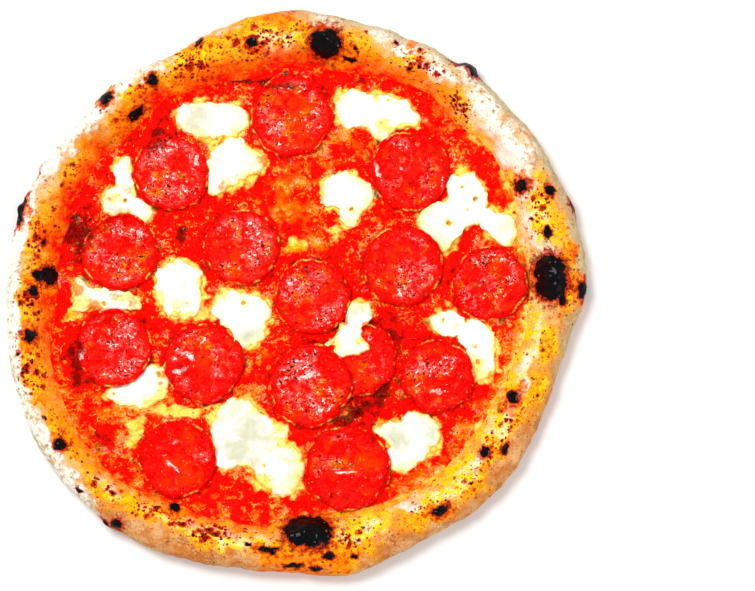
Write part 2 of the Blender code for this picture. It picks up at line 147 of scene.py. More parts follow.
# Stretches of the rim as (angle, spread of angle, place across the rim, depth across, strength).
# The place is 0 at the outer edge and 1 where the sauce begins.
STRETCHES = {
    # Partly flour, partly painted highlight where the rim faces the light: left outer rim, right and
    # bottom slope
    "flour_and_highlight": (
        (140, 22, 0.05, 0.35, 0.9), (162, 10, 0, 0.3, 0.9), (190, 26, -0.05, 0.38, 1.2),
        (215, 13, 0.05, 0.36, 1.1), (104, 8, 0.1, 0.25, 0.3), (118, 10, -0.05, 0.2, 0.2),
        (66, 12, 0.05, 0.3, 0.9), (48, 9, 0.02, 0.3, 0.8), (30, 10, 0.1, 0.3, 0.45),
        (56, 4.5, 0.5, 0.28, 1), (34, 11, 0.6, 0.45, 0.8), (23, 4, 0.8, 0.2, 0.8),
        (43, 7, 0.35, 0.35, 0.65), (10, 11, 0.9, 0.2, 1), (196, 12, 0.1, 0.3, 1), (3, 7, 0.6, 0.22, 1),
        (172, 14, 0, 0.32, 0.9), (150, 8, 0.1, 0.3, 0.8), (334, 6, 0.62, 0.15, 0.7),
        (298, 5, 0.8, 0.15, 0.7), (246, 4, 0.8, 0.15, 0.5), (9, 9, -0.05, 0.22, 0.6),
        (83, 6, 0.1, 0.25, 0.5), (343, 5, 0.75, 0.2, 0.6), (227, 5, 0.8, 0.15, 0.5),
        (256, 4, 0.75, 0.15, 0.5), (318, 4, 0.7, 0.2, 0.5),
    ),
    # Oily yellow crust on the slope facing the light, its palest parts partly painted highlight
    "golden": (
        (344, 13, 0.84, 0.3, 1), (358, 8, 0.95, 0.2, 1), (320, 12, 0.9, 0.25, 1),
        (20, 7, 0.95, 0.15, 0.9), (14, 6, 0.66, 0.34, 0.9), (326, 9, 0.8, 0.28, 1),
        (308, 11, 0.74, 0.3, 1), (286, 9, 0.78, 0.3, 1), (256, 10, 0.68, 0.28, 0.95),
        (229, 9, 0.78, 0.24, 0.85), (243, 8, 0.75, 0.26, 0.95), (94, 6, 0.6, 0.3, 0.75),
        (46, 6, 0.8, 0.28, 0.8), (30, 9, 0.95, 0.16, 0.8), (62, 6, 0.66, 0.26, 0.5),
        (170, 6, 0.55, 0.25, 0.35), (152, 5, 0.6, 0.2, 0.35),
    ),
    "leopard": (
        (100, 8, 0.5, 0.42, 0.9), (114, 10, 0.5, 0.42, 1), (127, 6, 0.55, 0.32, 0.8),
        (135, 5, 0.8, 0.28, 0.9), (152, 8, 0.66, 0.28, 0.6), (168, 7, 0.58, 0.32, 1),
        (182, 6, 0.55, 0.4, 1), (196, 8, 0.5, 0.36, 1), (212, 7, 0.68, 0.28, 0.7),
        (225, 6, 0.6, 0.3, 0.6), (60, 7, 0.55, 0.34, 1), (48, 5, 0.72, 0.26, 1), (76, 7, 0.6, 0.42, 0.7),
        (87, 6, 0.55, 0.36, 0.6), (331, 5, 0.6, 0.26, 1), (2, 8, 0.28, 0.36, 0.8),
        (282, 7, 0.45, 0.36, 0.8), (266, 6, 0.4, 0.3, 0.6), (347, 6, 0.42, 0.3, 0.6),
        (243, 7, 0.7, 0.26, 0.6), (14, 5, 0.35, 0.3, 0.5), (278, 7, 0.3, 0.25, 0.5),
        (90, 9, 0.45, 0.3, 0.75), (60, 7, 0.35, 0.25, 0.8), (320, 6, 0.5, 0.22, 0.8),
        (300, 6, 0.5, 0.3, 0.8), (252, 7, 0.6, 0.26, 0.9), (236, 5, 0.65, 0.26, 0.9),
        (312, 5, 0.35, 0.25, 0.6), (336, 6, 0.3, 0.25, 0.6), (20, 6, 0.5, 0.3, 0.7),
    ),
    "tanned": (
        (228, 14, 0.3, 0.42, 0.9), (250, 14, 0.22, 0.42, 1), (272, 16, 0.2, 0.45, 1),
        (291, 12, 0.28, 0.42, 1), (312, 14, 0.32, 0.42, 1), (335, 14, 0.2, 0.42, 1),
        (354, 10, 0.22, 0.32, 0.8), (94, 7, 0.05, 0.22, 0.9), (146, 10, 0.45, 0.34, 0.8),
        (178, 9, 0.35, 0.25, 0.5), (206, 8, 0.5, 0.32, 0.5), (38, 6, 0.35, 0.25, 0.6),
        (18, 7, 0.15, 0.25, 0.5), (72, 5, 0.35, 0.2, 0.4), (108, 5, 0.15, 0.2, 0.4),
        (127, 7, 0.12, 0.22, 0.6),
    ),
}

# Tomato sauce, and the gap that the solids leave under each layer
SAUCE_THICKNESS = 1.5
SAUCE_EDGE_WAVE, SAUCE_EDGE_WAVE_SIZE = 1.2, 14.0
SAUCE_RIPPLE, SAUCE_RIPPLE_SIZE = 0.5, 16.0
PULP_SIZE, PULP_FINE_SIZE = 4.2, 2.0
GAP = 0.35

# How wide the oily halo round the cheese is, and where the painted shadow ring beside a slice
# lies and how wide it is
HALO_WIDTH = 1.8
SLICE_SHADOW_PLACE, SLICE_SHADOW_WIDTH = 0.6, 1.8

# Places on the sauce and the slices as (x, y, half width, half height, turn, strength)
OILY_PLACES = (
    (-4, 44, 17, 15, 0, 1), (-3, 62, 14, 9, 0, 0.8), (6, 28, 12, 8, 0, 0.8), (31, 83, 12, 6, -20, 0.7),
    (-30, 46, 8, 6, 40, 0.7), (77, 92, 7, 6, 0, 0.6), (14, 73, 10, 8, 0, 0.5), (109, 72, 5, 8, 30, 0.6),
    (-62, 45, 6, 5, 0, 0.5), (-108, 62, 4, 12, 70, 0.4), (110, 50, 6, 7, 0, 0.7),
    (-80, -70, 9, 6, 0, 0.7), (-98, -77, 8, 5, 20, 0.6), (-86, -102, 9, 5, -20, 0.9),
    (-28, -48, 8, 7, 0, 0.5), (-14, -36, 6, 6, 0, 0.6), (-82, -58, 22, 9, 0, 0.8),
    (-98, -66, 9, 8, 0, 0.8), (-116, -4, 7, 10, 0, 0.8), (-76, -72, 14, 8, 30, 0.8),
    (92, -88, 9, 6, 40, 0.7), (52, 24, 6, 4, 0, 0.4), (110, -45, 8, 9, 0, 0.6), (30, 10, 5, 4, 0, 0.4),
    (-45, -108, 9, 5, -20, 0.6), (-60, 112, 20, 4, 5, 0.6), (-10, 114, 14, 3, 0, 0.5),
    (46, 40, 8, 5, 0, 0.5), (70, 36, 5, 5, 0, 0.6), (-76, -114, 8, 5, -15, 0.7),
    (44, -112, 9, 4, 10, 0.6), (48, -60, 4, 8, 0, 0.2), (-112, -58, 7, 9, 0, 0.7),
    (64, -104, 12, 4, 20, 0.6), (100, -66, 7, 9, -25, 0.6),
)
CHEESY_PLACES = (
    (1, 26, 9, 4, 15, 0.9), (-62, -65, 16, 5.5, 3, 1), (-87, -80, 7, 13, 8, 1),
    (-58, -11, 11, 5, 0, 0.9), (20, -12, 8, 4, 0, 0.9), (-49, 74, 2.4, 16, 0, 0.9),
    (101, -49, 8, 4, 20, 0.9), (-48, -62, 8, 3.5, 0, 0.6), (23, 33, 6, 4, 0, 0.7),
    (-10, 44, 6, 2.5, 30, 0.35), (-44, 88, 8, 3, 0, 0.7), (-88, 98, 6, 3, 40, 0.3),
    (-76, 55, 3, 9, 0, 0.6), (-81, -49, 6, 5, 0, 0.5), (36, -44, 5, 3, 0, 0.2), (68, -22, 5, 3, 0, 0.4),
    (-20, -118, 10, 3, 5, 0.5), (-84, -62, 9, 5, 0, 0.8), (-74, -78, 5, 8, 0, 0.7),
)
# Painted shade on the sauce: creases, valleys, shadows between the slices and at the rim's foot
SHADOWED_PLACES = (
    (-22, 117.5, 24, 1.8, 3, 1), (-3, 119, 16, 1.6, -8, 0.9), (14, 113, 3, 1.6, 0, 0.8),
    (47, -45, 7, 26, -8, 0.9), (54, -24, 8, 12, 10, 0.6), (33, -66, 16, 5, 42, 0.9),
    (-121, 33, 8, 15, -10, 0.9), (-121.5, -38, 4.5, 15, 6, 0.9), (-63, 33, 4, 4, 0, 0.8),
    (-107, -82, 5, 5, 0, 0.6), (61, 38, 4, 4, 0, 0.3), (46, 8, 4, 5, 0, 0.4), (26, -72, 7, 3, 35, 0.6),
    (-76, 92, 5, 9, -30, 0.6), (-88, 88, 6, 2.2, 30, 0.6), (-52, -22, 10, 4, 0, 0.3),
    (72, -14, 5, 9, 20, 0.4), (30, 118, 22, 1.8, -12, 0.5), (-118, 8, 3, 9, 0, 0.5),
)
# Painted shade on the slices: shadowed edges and creases
SHADOWS_ON_SLICES = (
    (-78, 82, 8, 3.5, 20, 0.9), (-114, 34, 4, 9, -15, 0.9), (-5, 114, 15, 2, 0, 0.8),
    (-105, 32, 5, 8, 0, 0.4), (-119, -34, 3, 9, 0, 0.9), (50, -26, 3, 8, 20, 0.4),
    (28, -66, 10, 1.6, 20, 0.5), (-3, 78, 8, 1.5, 0, 0.3),
)
# Painted highlights on the slices: white glint streaks
GLINT_STREAKS = (
    (-66, -97, 5, 1, -35, 1), (-71, -90, 1.6, 0.8, 0, 0.7), (28, -100, 6, 0.8, 5, 1),
    (22, -98, 4, 0.7, 15, 0.7), (-118, -36, 1.8, 4, -15, 1), (-58, -36, 5, 2, -40, 0.8),
    (-64, -44, 5, 2.2, 20, 0.9), (-42, -60, 9, 1.2, 10, 0.7), (81, 58, 1.2, 6, 0, 0.7),
    (46, 66, 1.2, 8, 20, 0.8), (58, 84, 9, 1.2, 12, 0.4), (-13, 11, 3.5, 1.4, 50, 0.9),
    (-55, 72, 1.6, 4, -10, 0.8), (-86, 32, 2, 4, 0, 0.8), (78, -56, 5, 1.8, 0, 0.8),
    (7, -46, 6, 2.4, 30, 0.9),
)

# Mozzarella: each patch is a middle lobe and the lobes merged with it (x, y, radius)
MOZZARELLA_PATCHES = (
    ((-49, 95.5, 10.5), (-58.5, 96.5, 8), (-36.5, 95, 10)),
    ((-36, 70.5, 12), (-23.5, 72, 7.5), (-35.5, 79, 6), (-43.5, 61, 6)),
    ((46, 100, 10.5), (30.5, 101.5, 10.5), (58, 98, 8.5), (48.5, 88.5, 6.5), (66, 95, 3.5)),
    ((-96, 54, 7), (-96, 70, 5.5), (-95, 62, 5.5), (-98.5, 49, 8.5), (-86, 44.5, 7)),
    ((29.5, 53, 8.5), (25, 56.5, 9.5), (34, 52, 8.5), (30.5, 42, 5.5), (20, 52, 6)),
    ((96, 46, 10), (94, 57, 9.5), (80, 38, 11.5), (84, 28, 6.5), (113, 36, 9), (114, 29, 7)),
    ((-64, 1, 10), (-63, 6, 12), (-63, -5, 11), (-71, 3, 7.5)),
    ((-28, -13, 9.5), (-35.5, -9.5, 10.5), (-24.5, -12, 10.5), (-25.5, -23, 9)),
    ((30, -22, 6.5), (35, -12, 6.5), (39.5, -14, 4.5), (30, -30, 7), (36, -32, 4), (18, -27, 4.5)),
    ((-107, -5, 7), (-117, -3, 6.5), (-118.5, 3, 4.5), (-97, -6, 6), (-124, -13, 4.5), (-90, -5, 4)),
    ((98, -24, 9), (84, -17.5, 8), (78.5, -18, 4.5), (103, -30, 8.5), (102, -41, 8)),
    ((-85, -54.5, 10), (-96, -55.5, 6.5), (-76.5, -49, 8), (-102.5, -55.5, 3.5)),
    ((-24, -83, 12), (-31, -74, 15), (-35.5, -87.5, 11), (-14.5, -79.5, 10.5), (-8, -98.5, 14)),
    ((65, -83, 11), (54, -78.5, 7), (69, -78, 10.5), (58, -92, 7.5), (47.5, -75.5, 3.5)),
)
LOBE_BLEND = 2.6
PATCH_EDGE_WAVE, PATCH_EDGE_WAVE_SIZE = 0.7, 7.0
PATCH_EDGE_NICK, PATCH_EDGE_NICK_SIZE = 0.5, 2.6
PATCH_THICKNESS = 1.7
PATCH_THICKNESS_PER_REACH = 0.05
PATCH_LUMP, PATCH_LUMP_SIZE = 0.45, 9.0
PATCH_BUMP_SIZE, PATCH_FINE_BUMP, PATCH_FINE_BUMP_SIZE = 4.5, 0.4, 2
PATCH_SINK = 0.3

# How far out and in what steps a patch's outline is looked for, and how often it is evened out
PATCH_WIDEST, PATCH_STEP, PATCH_ROUNDS = 60, 0.1, 8

# Marks on the mozzarella as (x, y, radius, strength)
MARKS = {
    "marked": (
        (92.5, 57, 1.2, 0.8), (99.8, 50.8, 1.5, 1), (95, 44.8, 1, 0.7), (85, 37, 1.8, 1),
        (45.5, 106.4, 1.6, 0.5), (51.5, 106.4, 1.2, 0.6), (-94.5, 50.5, 1.5, 1), (31, 45.4, 1.6, 0.9),
        (-28.3, -6.3, 1.4, 0.9), (-38.8, -4.2, 1.4, 0.6), (81.7, -16.8, 1.4, 0.8),
        (94.3, -16.2, 1.5, 0.8), (99.3, -31, 1.4, 0.7), (100.4, -39.3, 1.6, 1), (-106, -6.3, 1.6, 1),
        (-127.5, -9, 1.5, 0.9), (-75, -46, 1.6, 1), (-74.5, -51, 1.4, 0.8), (-15, -60.5, 1.5, 1),
        (-26.5, -96.5, 1.4, 0.7), (-17.5, -66.5, 1.8, 1), (-16.5, -96, 1.5, 0.7), (-12, -104, 1.3, 0.5),
        (-100, -57, 1.2, 0.8),
    ),
    "yellowed": (
        (49, 92, 5, 1), (58, 90.5, 5, 0.7), (45, 106.4, 2.5, 0.8), (52, 106, 2, 0.7), (-87, 57, 5, 0.8),
        (-91, 66, 4, 0.7), (-97, 60, 4, 0.5), (-93, 44, 6, 0.5), (31, 45, 3, 0.7), (85, 37, 3, 0.8),
        (-64, -8, 8, 0.6), (-66, 6, 3, 0.4), (-28, -6, 3, 0.7), (99, -40, 6, 0.8), (96, -46, 6, 1),
        (81.5, -17, 3, 0.6), (-72, -58, 5, 0.9), (-80, -62, 7, 0.7), (-12, -76, 7, 0.5),
        (-9, -89, 8, 0.5), (-17, -104, 5, 0.8), (-3, -84, 4, 0.9), (20, -26, 4, 0.8), (-110, 0, 7, 0.5),
        (-104, -8, 5, 0.6), (-38, 61, 4, 0.6), (24, -20, 3, 0.7), (-118, -6, 6, 0.8),
        (-124, -10, 5, 0.9), (-95, -3, 4, 0.9), (-62, 4, 6, 0.5), (35, -28, 3, 0.8), (-100, 52, 5, 0.6),
        (-22, -88, 9, 0.4), (88, -20, 4, 0.6), (-30, -95, 6, 0.5), (54, -92, 4, 0.4),
    ),
    # Painted shade on the mozzarella: grey-green places
    "shaded_spots": (
        (-55, 101, 7.5, 0.9), (-60, 93, 7.5, 0.9), (-31, -87, 7.5, 1), (-25, -77, 9, 0.9),
        (-18, -82, 12, 0.5), (56, -81, 7.5, 0.9), (77, -78, 6, 0.9), (-24, -27, 7.5, 0.9),
        (-66, -45, 6, 1), (-68, -52, 5.2, 0.9), (30, 39, 5.2, 0.7), (82, 24, 5.2, 0.8),
        (-17, 72, 9, 0.7), (-101, 47, 7.5, 0.6), (-118, -2, 10.5, 0.6), (34, -9, 6, 0.8),
        (-32, -60, 12, 0.2), (50, 93, 6, 0.3), (-22, -91, 9, 0.6),
    ),
    "thin": (
        (-15, 73, 5, 1), (-21, 64, 6, 0.5), (20, -28, 5, 0.5), (-90, -6, 4, 0.6), (-40, 59, 4, 0.6),
        (30, 38, 3, 0.5), (38, -10, 4, 0.4), (-111, -9, 5, 0.9), (-121, 1, 4, 0.9), (28, -17, 3, 0.7),
        (40, -20, 3, 1), (-99, -3, 4, 0.6), (-93, 56, 4, 0.5), (-104, 52, 3, 0.6), (-73, -46, 3, 0.8),
        (96, -49, 4, 0.8), (-106, -56, 3, 0.5), (46, -74, 3, 0.6),
    ),
}

# Salami: the share of fat in each slice, and the sizes of a slice
SLICE_FATS = (0.6, 0.6, 0.56, 0.62, 0.6, 0.54, 0.58, 0.54, 0.62, 0.5, 0.28, 0.6, 0.42, 0.32, 0.26)
SLICE_THICKNESS = 1.35
SLICE_CROWN = 0.6
SLICE_SINK = 0.25
SLICE_WAVE, SLICE_WAVE_SIZE = 0.8, 10
SLICE_NICK, SLICE_NICK_SIZE = 0.35, 3
SLICE_BUMP_SIZE, SLICE_FINE_BUMP, SLICE_FINE_BUMP_SIZE = 5, 0.5, 2.4
LIP_PLACE, LIP_WIDTH = 0.95, 0.035

# Rows and spokes of the meshes. The sauce's rings under it and at its lip are shares of its
# reach, and the lip's rises are heights over the rim's slope. A slice's top begins at its row
# SLICE_TOP.
RIM_ROWS = (10, 26, 36, 5)
SAUCE_RINGS = 112
SAUCE_UNDER_RINGS = (0.3, 0.6, 0.8, 0.9, 0.95, 0.99)
SAUCE_LIP_RINGS, SAUCE_LIP_RISES = (1.006, 1.004), (-0.5, -0.1)
SLICE_TOP = 9
DOUGH_SPOKES, SAUCE_SPOKES, PATCH_SPOKES, SLICE_SPOKES = 840, 600, 240, 132

# How far drawn places stray, and how wide the bends of their outlines are
CHAR_STRAY, RIM_STRAY, SAUCE_STRAY, PATCH_STRAY, EDGE_STRAY, MARK_STRAY, STREAK_STRAY = (
    (0.7, 3.4), (2.6, 8), (1.6, 6), (1.1, 9), (0.45, 3.2), (0.6, 3), (0.9, 3.6))
FINER_STRAY, FINER_STRAY_SIZE = 0.4, 0.38

# Layers of noise, so that no two patterns repeat each other, and how far apart the layers lie
LAYER_STEP, LAYER_START = 7.3, 0.5
RIM_LUMPS, SAUCE_RIPPLES, SAUCE_WAVES, PATCH_WAVES, PATCH_LUMPS = 1, 2, 3, 4, 5
RIM_CREASES, RIM_BUMPS, PULP, PULP_FINE, PATCH_FINE, SLICE_LUMPS, SLICE_WAVES, STRAY = range(11, 19)

# Scattered lumps: their least and greatest width as shares of their size, a full turn in
# radians, and the scale of their unevenness
BODY_WIDTHS = (0.6, 1.5)
FULL_TURN = 6.28
UNEVEN_SCALE = 900.0

# Tint of the sheen on red surfaces, so that it doesn't veil their colour
RED_SHEEN = (1, 0.2, 0.1)

# Sockets of the Mix node for its factor and two colours and what it makes of them, and those of
# the Random Value node for its lowest and highest number and what it draws
MIX_FACTOR, MIX_UNDER, MIX_OVER, MIX_RESULT = 0, 6, 7, 2
RANDOM_LOW, RANDOM_HIGH, RANDOM_RESULT = 2, 3, 1

# Stage, in metres, but the sensor in millimetres
CAMERA_AIM = (0.04565, -0.00275, 0.008)
CAMERA_DISTANCE = 1.5
CAMERA_LEAN = (0.05, -0.08)
FRAME_WIDTH = 0.41525
SENSOR = 36
FLOOR_HALF = 2.5
FLOOR_SHADE = (0.9, 0.9, 0.9)
FLOOR_DROP = 0.0002
SKY_STRENGTH = 0.56
CAMERA_NEAREST = 0.05

# Lights by name, each with its place, size, power and tint
LIGHTS = {"key": ((-0.4, 0.5, 1.35), 0.6, 15, (1, 0.985, 0.95)),
          "fill": ((0.9, -0.6, 1.2), 1.2, 6, (1, 1, 1))}


def linear(red, green, blue):
    """A colour given as a screen shows it, 0 to 255, as the shaders need it."""
    shares = (channel / 255 for channel in (red, green, blue))
    return tuple(c / 12.92 if c <= 0.04045 else ((c + 0.055) / 1.055) ** 2.4 for c in shares)


# Shape functions on whole arrays


def spokes(count):
    return np.arange(count) * math.tau / count


def polar(radius, angle, centre=(0, 0)):
    return centre[0] + radius * np.cos(angle), centre[1] + radius * np.sin(angle)


def around(values, angle):
    """A closed smooth curve through values at equal steps of angle."""
    values = np.array(values, float)
    spot = (angle / math.tau) % 1.0 * len(values)
    first = np.floor(spot).astype(int)
    t = spot - first
    before, here, after, beyond = (values[(first + k) % len(values)] for k in (-1, 0, 1, 2))
    bend = 2 * before - 5 * here + 4 * after - beyond
    twist = -before + 3 * here - 3 * after + beyond
    return here + 0.5 * t * (after - before + t * (bend + t * twist))


def ripple(x, y, size, layer, z=0.0):
    """Smooth noise of about -1 to 1 with bumps about as wide as size. Each layer differs."""
    depth = np.asarray(z) / size + LAYER_STEP * layer + LAYER_START
    x, y, z = np.broadcast_arrays(x / size, y / size, depth)
    spots = zip(x.ravel().tolist(), y.ravel().tolist(), z.ravel().tolist())
    return 2.0 * np.fromiter((noise.noise(spot) for spot in spots), float, x.size).reshape(x.shape)


def smooth_step(value, low, high):
    share = np.clip((value - low) / (high - low), 0, 1)
    return share * share * (3 - 2 * share)


def strayed(x, y, amount, size):
    """Places moved a little by noise, so that what is drawn there gets ragged outlines."""
    fine = FINER_STRAY_SIZE * size
    shifts = [ripple(x, y, size, STRAY + k) + FINER_STRAY * ripple(x, y, fine, STRAY + k + 1)
              for k in (0, 2)]
    return x + amount * shifts[0], y + amount * shifts[1]


class Rim:
    """The rim's sizes at each of some angles."""

    def __init__(self, angle):
        reach = around(SAUCE_REACH, angle)
        wave = ripple(*polar(reach, angle), SAUCE_EDGE_WAVE_SIZE, SAUCE_WAVES)
        self.edge = reach + SAUCE_EDGE_WAVE * wave
        self.reach = around(RIM_REACH, angle)
        self.crest = self.reach - CREST_SHARE * (self.reach - self.edge)
        self.height = around(RIM_HEIGHT, angle)
        self.foot = self.edge - SLOPE_RUN_OUT
        # Painted light: the side whose slope faces the light, painted paler and more yellow
        self.lit_side = np.clip(around(LIT_SIDE_SHARE, angle), 0, 1)

    def slope_height(self, radius):
        """Height of the inner slope, or of the base inside it."""
        share = np.clip((self.crest - radius) / (self.crest - self.foot), 0, 1)
        rise = 0.5 + 0.5 * np.cos(math.pi * share)
        return BASE_THICKNESS + (self.height - BASE_THICKNESS) * rise

    def section(self, lower, upper, inner, buried):
        """Rows of radius, height and fade of the relief up the outer wall, over the crest and
        down the inner slope, with that many rows in each part."""
        belly = BELLY_SHARE * self.height
        rows = []
        for k in range(lower):
            turn = math.pi / 2 * (1 - k / lower)
            rows.append((self.reach - FOOT_INSET * (1 - math.cos(turn)),
                         belly * (1 - math.sin(turn)), WALL_END * k / lower))
        for k in range(upper):
            turn = math.pi / 2 * k / upper
            rows.append((self.crest + (self.reach - self.crest) * math.cos(turn),
                         belly + (self.height - belly) * math.sin(turn),
                         WALL_END + (CREST_END - WALL_END) * k / upper))
        for k in range(inner + 1):
            radius = self.crest + (self.edge - self.crest) * k / inner
            rows.append((radius, self.slope_height(radius),
                         CREST_END + (SLOPE_END - CREST_END) * k / inner))
        for k in range(1, buried + 1):
            radius = self.edge + (self.foot - self.edge) * k / buried
            rows.append((radius, self.slope_height(radius), SLOPE_END))
        radius, height, place = (np.array([row[k] for row in rows]) for k in range(3))
        fade = np.sqrt(np.maximum(np.sin(math.pi * place / SLOPE_END), 0))
        return radius, height, fade[:, None]


def raised_spots(x, y, spots):
    """Height of round bumps (x, y, radius, height)."""
    lift = np.zeros_like(x)
    for spot_x, spot_y, radius, height in spots:
        away = np.hypot(x - spot_x, y - spot_y) / radius
        lift += height * np.maximum(1 - away * away, 0) ** 1.5
    return lift


def places(x, y, spots, power=3):
    """Weight of oval places (x, y, half width, half height, turn, strength), half as strong at
    their outlines. A higher power gives a harder edge."""
    weight = np.zeros_like(x)
    for spot_x, spot_y, half_width, half_height, turn, strength in spots:
        cos, sin = math.cos(math.radians(turn)), math.sin(math.radians(turn))
        along = ((x - spot_x) * cos + (y - spot_y) * sin) / half_width
        across = ((y - spot_y) * cos - (x - spot_x) * sin) / half_height
        weight = np.maximum(weight, strength / (1 + (along ** 2 + across ** 2) ** (power / 2)))
    return weight


def rim_spots(x, y, spots):
    """Weight of spots (x, y, radius, stretch along the rim)."""
    ovals = [(spot_x, spot_y, radius, radius * stretch, math.degrees(math.atan2(spot_y, spot_x)), 1)
             for spot_x, spot_y, radius, stretch in spots]
    return places(x, y, ovals, 4)


def stretches(angle, across, table):
    """Weight of stretches of the rim."""
    weight = np.zeros_like(across)
    for middle, spread, place, depth, strength in table:
        away = (np.degrees(angle) - middle + 180) % 360 - 180
        near = np.exp(-((away / spread) ** 2) - ((across - place) / depth) ** 2)
        weight = np.maximum(weight, strength * near)
    return weight


def patch_fields(x, y, lobes):
    """The summed pull of a patch's lobes, which is 1 on the patch's outline."""
    total = np.zeros_like(x)
    for lobe_x, lobe_y, radius in lobes:
        total += np.exp(LOBE_BLEND * (1 - ((x - lobe_x) ** 2 + (y - lobe_y) ** 2) / radius ** 2))
    return total


def patch_reaches(lobes, angle):
    """How far a patch runs from its middle lobe's centre at each angle."""
    steps = np.arange(0, PATCH_WIDEST, PATCH_STEP)[:, None]
    outside = patch_fields(*polar(steps, angle, lobes[0]), lobes) < 1
    reach = steps[outside.argmax(axis=0), 0]
    for _ in range(PATCH_ROUNDS):
        reach = 0.5 * reach + 0.25 * (np.roll(reach, 1) + np.roll(reach, -1))
    wave = ripple(*polar(reach, angle, lobes[0]), PATCH_EDGE_WAVE_SIZE, PATCH_WAVES)
    return reach + PATCH_EDGE_WAVE * wave


def node_names(kind):
    return sorted(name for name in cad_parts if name.startswith(kind))


def slice_circle(name):
    """Middle and radius of a slice of the solids."""
    low, high = (np.array(corner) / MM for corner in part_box(name))
    return (low[:2] + high[:2]) / 2, (high[:2] - low[:2]).mean() / 2


def shadow_beside_slices(x, y):
    """1 on the sauce along the slices' edges and 0 away from them: a painted shadow beside each slice."""
    near = np.zeros_like(x)
    for centre, radius in map(slice_circle, node_names("salami")):
        away = np.hypot(x - centre[0], y - centre[1]) - radius
        near = np.maximum(near, np.exp(-(((away - SLICE_SHADOW_PLACE) / SLICE_SHADOW_WIDTH) ** 2)))
    return near


# Meshes


def closed_points(x, y, height, first, last):
    """The points of a closed body: a first tip, its rows of points and a last tip."""
    return np.concatenate(([first], np.stack((x, y, height), -1).reshape(-1, 3), [last]))


def with_tips(rows, first=0, last=0):
    return np.concatenate(([first], np.ravel(rows), [last]))


def ring_faces(rings, count):
    """Faces of a closed body whose rings of so many points run from under its middle outwards
    and over its top."""
    k = np.arange(count)
    after = (k + 1) % count
    starts = 1 + count * np.arange(rings - 1)[:, None]
    quads = np.stack((starts + k, starts + after, starts + count + after, starts + count + k), -1)
    top = 1 + count * (rings - 1)
    under = np.stack((np.zeros_like(k), 1 + after, 1 + k), -1)
    over = np.stack((np.full_like(k, top + count), top + k, top + after), -1)
    return under.tolist() + quads.reshape(-1, 4).tolist() + over.tolist()


def add_piece(name, points, faces, material, attributes):
    """A smooth mesh object from points in millimetres, kept inside the solids' box."""
    mesh = bpy.data.meshes.new(name)
    mesh.from_pydata(np.clip(np.asarray(points) * MM, *np.array(CAD_BOX)).tolist(), [], faces)
    for label, values in attributes.items():
        layer = mesh.attributes.new(label, "FLOAT", "POINT")
        layer.data.foreach_set("value", np.asarray(values, np.float32))
    mesh.materials.append(material)
    mesh.shade_smooth()
    mesh.update()
    piece = bpy.data.objects.new(name, mesh)
    bpy.context.scene.collection.objects.link(piece)
    return piece


def mount_piece(piece, slot_name, *nodes):
    """Ties a finished piece to the pizza and hides the solids that it stands for."""
    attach(piece, "root")
    if nodes:
        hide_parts(*nodes)


def underside(name, x, y):
    """Heights of a node's underside at places given as rows (share of reach, spoke). Rows past
    the last hit go on as the two rows before them."""
    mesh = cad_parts[name].data
    tree = BVHTree.FromPolygons([v.co for v in mesh.vertices], [p.vertices for p in mesh.polygons])
    heights = np.full(x.shape, np.nan)
    for spot in np.ndindex(x.shape):
        hit = tree.ray_cast(Vector((x[spot] * MM, y[spot] * MM, RAY_START)), Vector((0, 0, 1)))[0]
        if hit is not None:
            heights[spot] = hit.z / MM
    for row in range(1, len(heights)):
        missed = np.isnan(heights[row])
        before = heights[max(row - 2, 0)]
        heights[row, missed] = (2 * heights[row - 1] - before)[missed]
    return heights


def smoothed(rows, rounds):
    """Rows round a middle, evened out along and across the rings."""
    for _ in range(rounds):
        near = 0.5 * rows + 0.25 * (np.roll(rows, 1, axis=1) + np.roll(rows, -1, axis=1))
        padded = np.concatenate((near[:1].mean(axis=1, keepdims=True).repeat(near.shape[1], 1),
                                 near, 2 * near[-1:] - near[-2:-1]))
        rows = 0.5 * padded[1:-1] + 0.25 * (padded[:-2] + padded[2:])
    return rows


def bed_under(name, centre, reach, angle, steps, share, rounds):
    """Smoothed heights of what a piece rests on, at steps and at shares of its reach."""
    bed = smoothed(underside(name, *polar(steps[:, None] * reach, angle, centre)), rounds)
    ground = [[np.interp(s, steps, bed[:, k]) for k in range(len(angle))] for s in share[:, 0]]
    return bed, np.array(ground)


# Shader and geometry node trees


class Value:
    """A socket's value, with Python's operators adding Math nodes."""

    def __init__(self, tree, socket):
        self.tree = tree
        self.socket = socket

    def maths(self, operation, *values, clamp=False):
        return self.tree.made("ShaderNodeMath", {"operation": operation, "use_clamp": clamp}, *values)

    def __add__(self, other):
        return self.maths("ADD", self, other)

    def __sub__(self, other):
        return self.maths("SUBTRACT", self, other)

    def __rsub__(self, other):
        return self.maths("SUBTRACT", other, self)

    def __mul__(self, other):
        return self.maths("MULTIPLY", self, other)

    __radd__ = __add__
    __rmul__ = __mul__

    def swing(self, amount):
        """Noise made to go from minus half the amount to plus half of it."""
        return (self - 0.5) * amount

    def clamped(self):
        return self.maths("ADD", self, 0.0, clamp=True)

    def winding(self):
        """Near 0 along lines that wind over the surface."""
        return self.maths("ABSOLUTE", self - 0.5)

    def step(self, low, high):
        """0 below low, 1 above high, smooth between. Low may be the larger."""
        settings = {"interpolation_type": "SMOOTHSTEP"}
        return self.tree.made("ShaderNodeMapRange", settings, self, low, high, 0.0, 1.0)


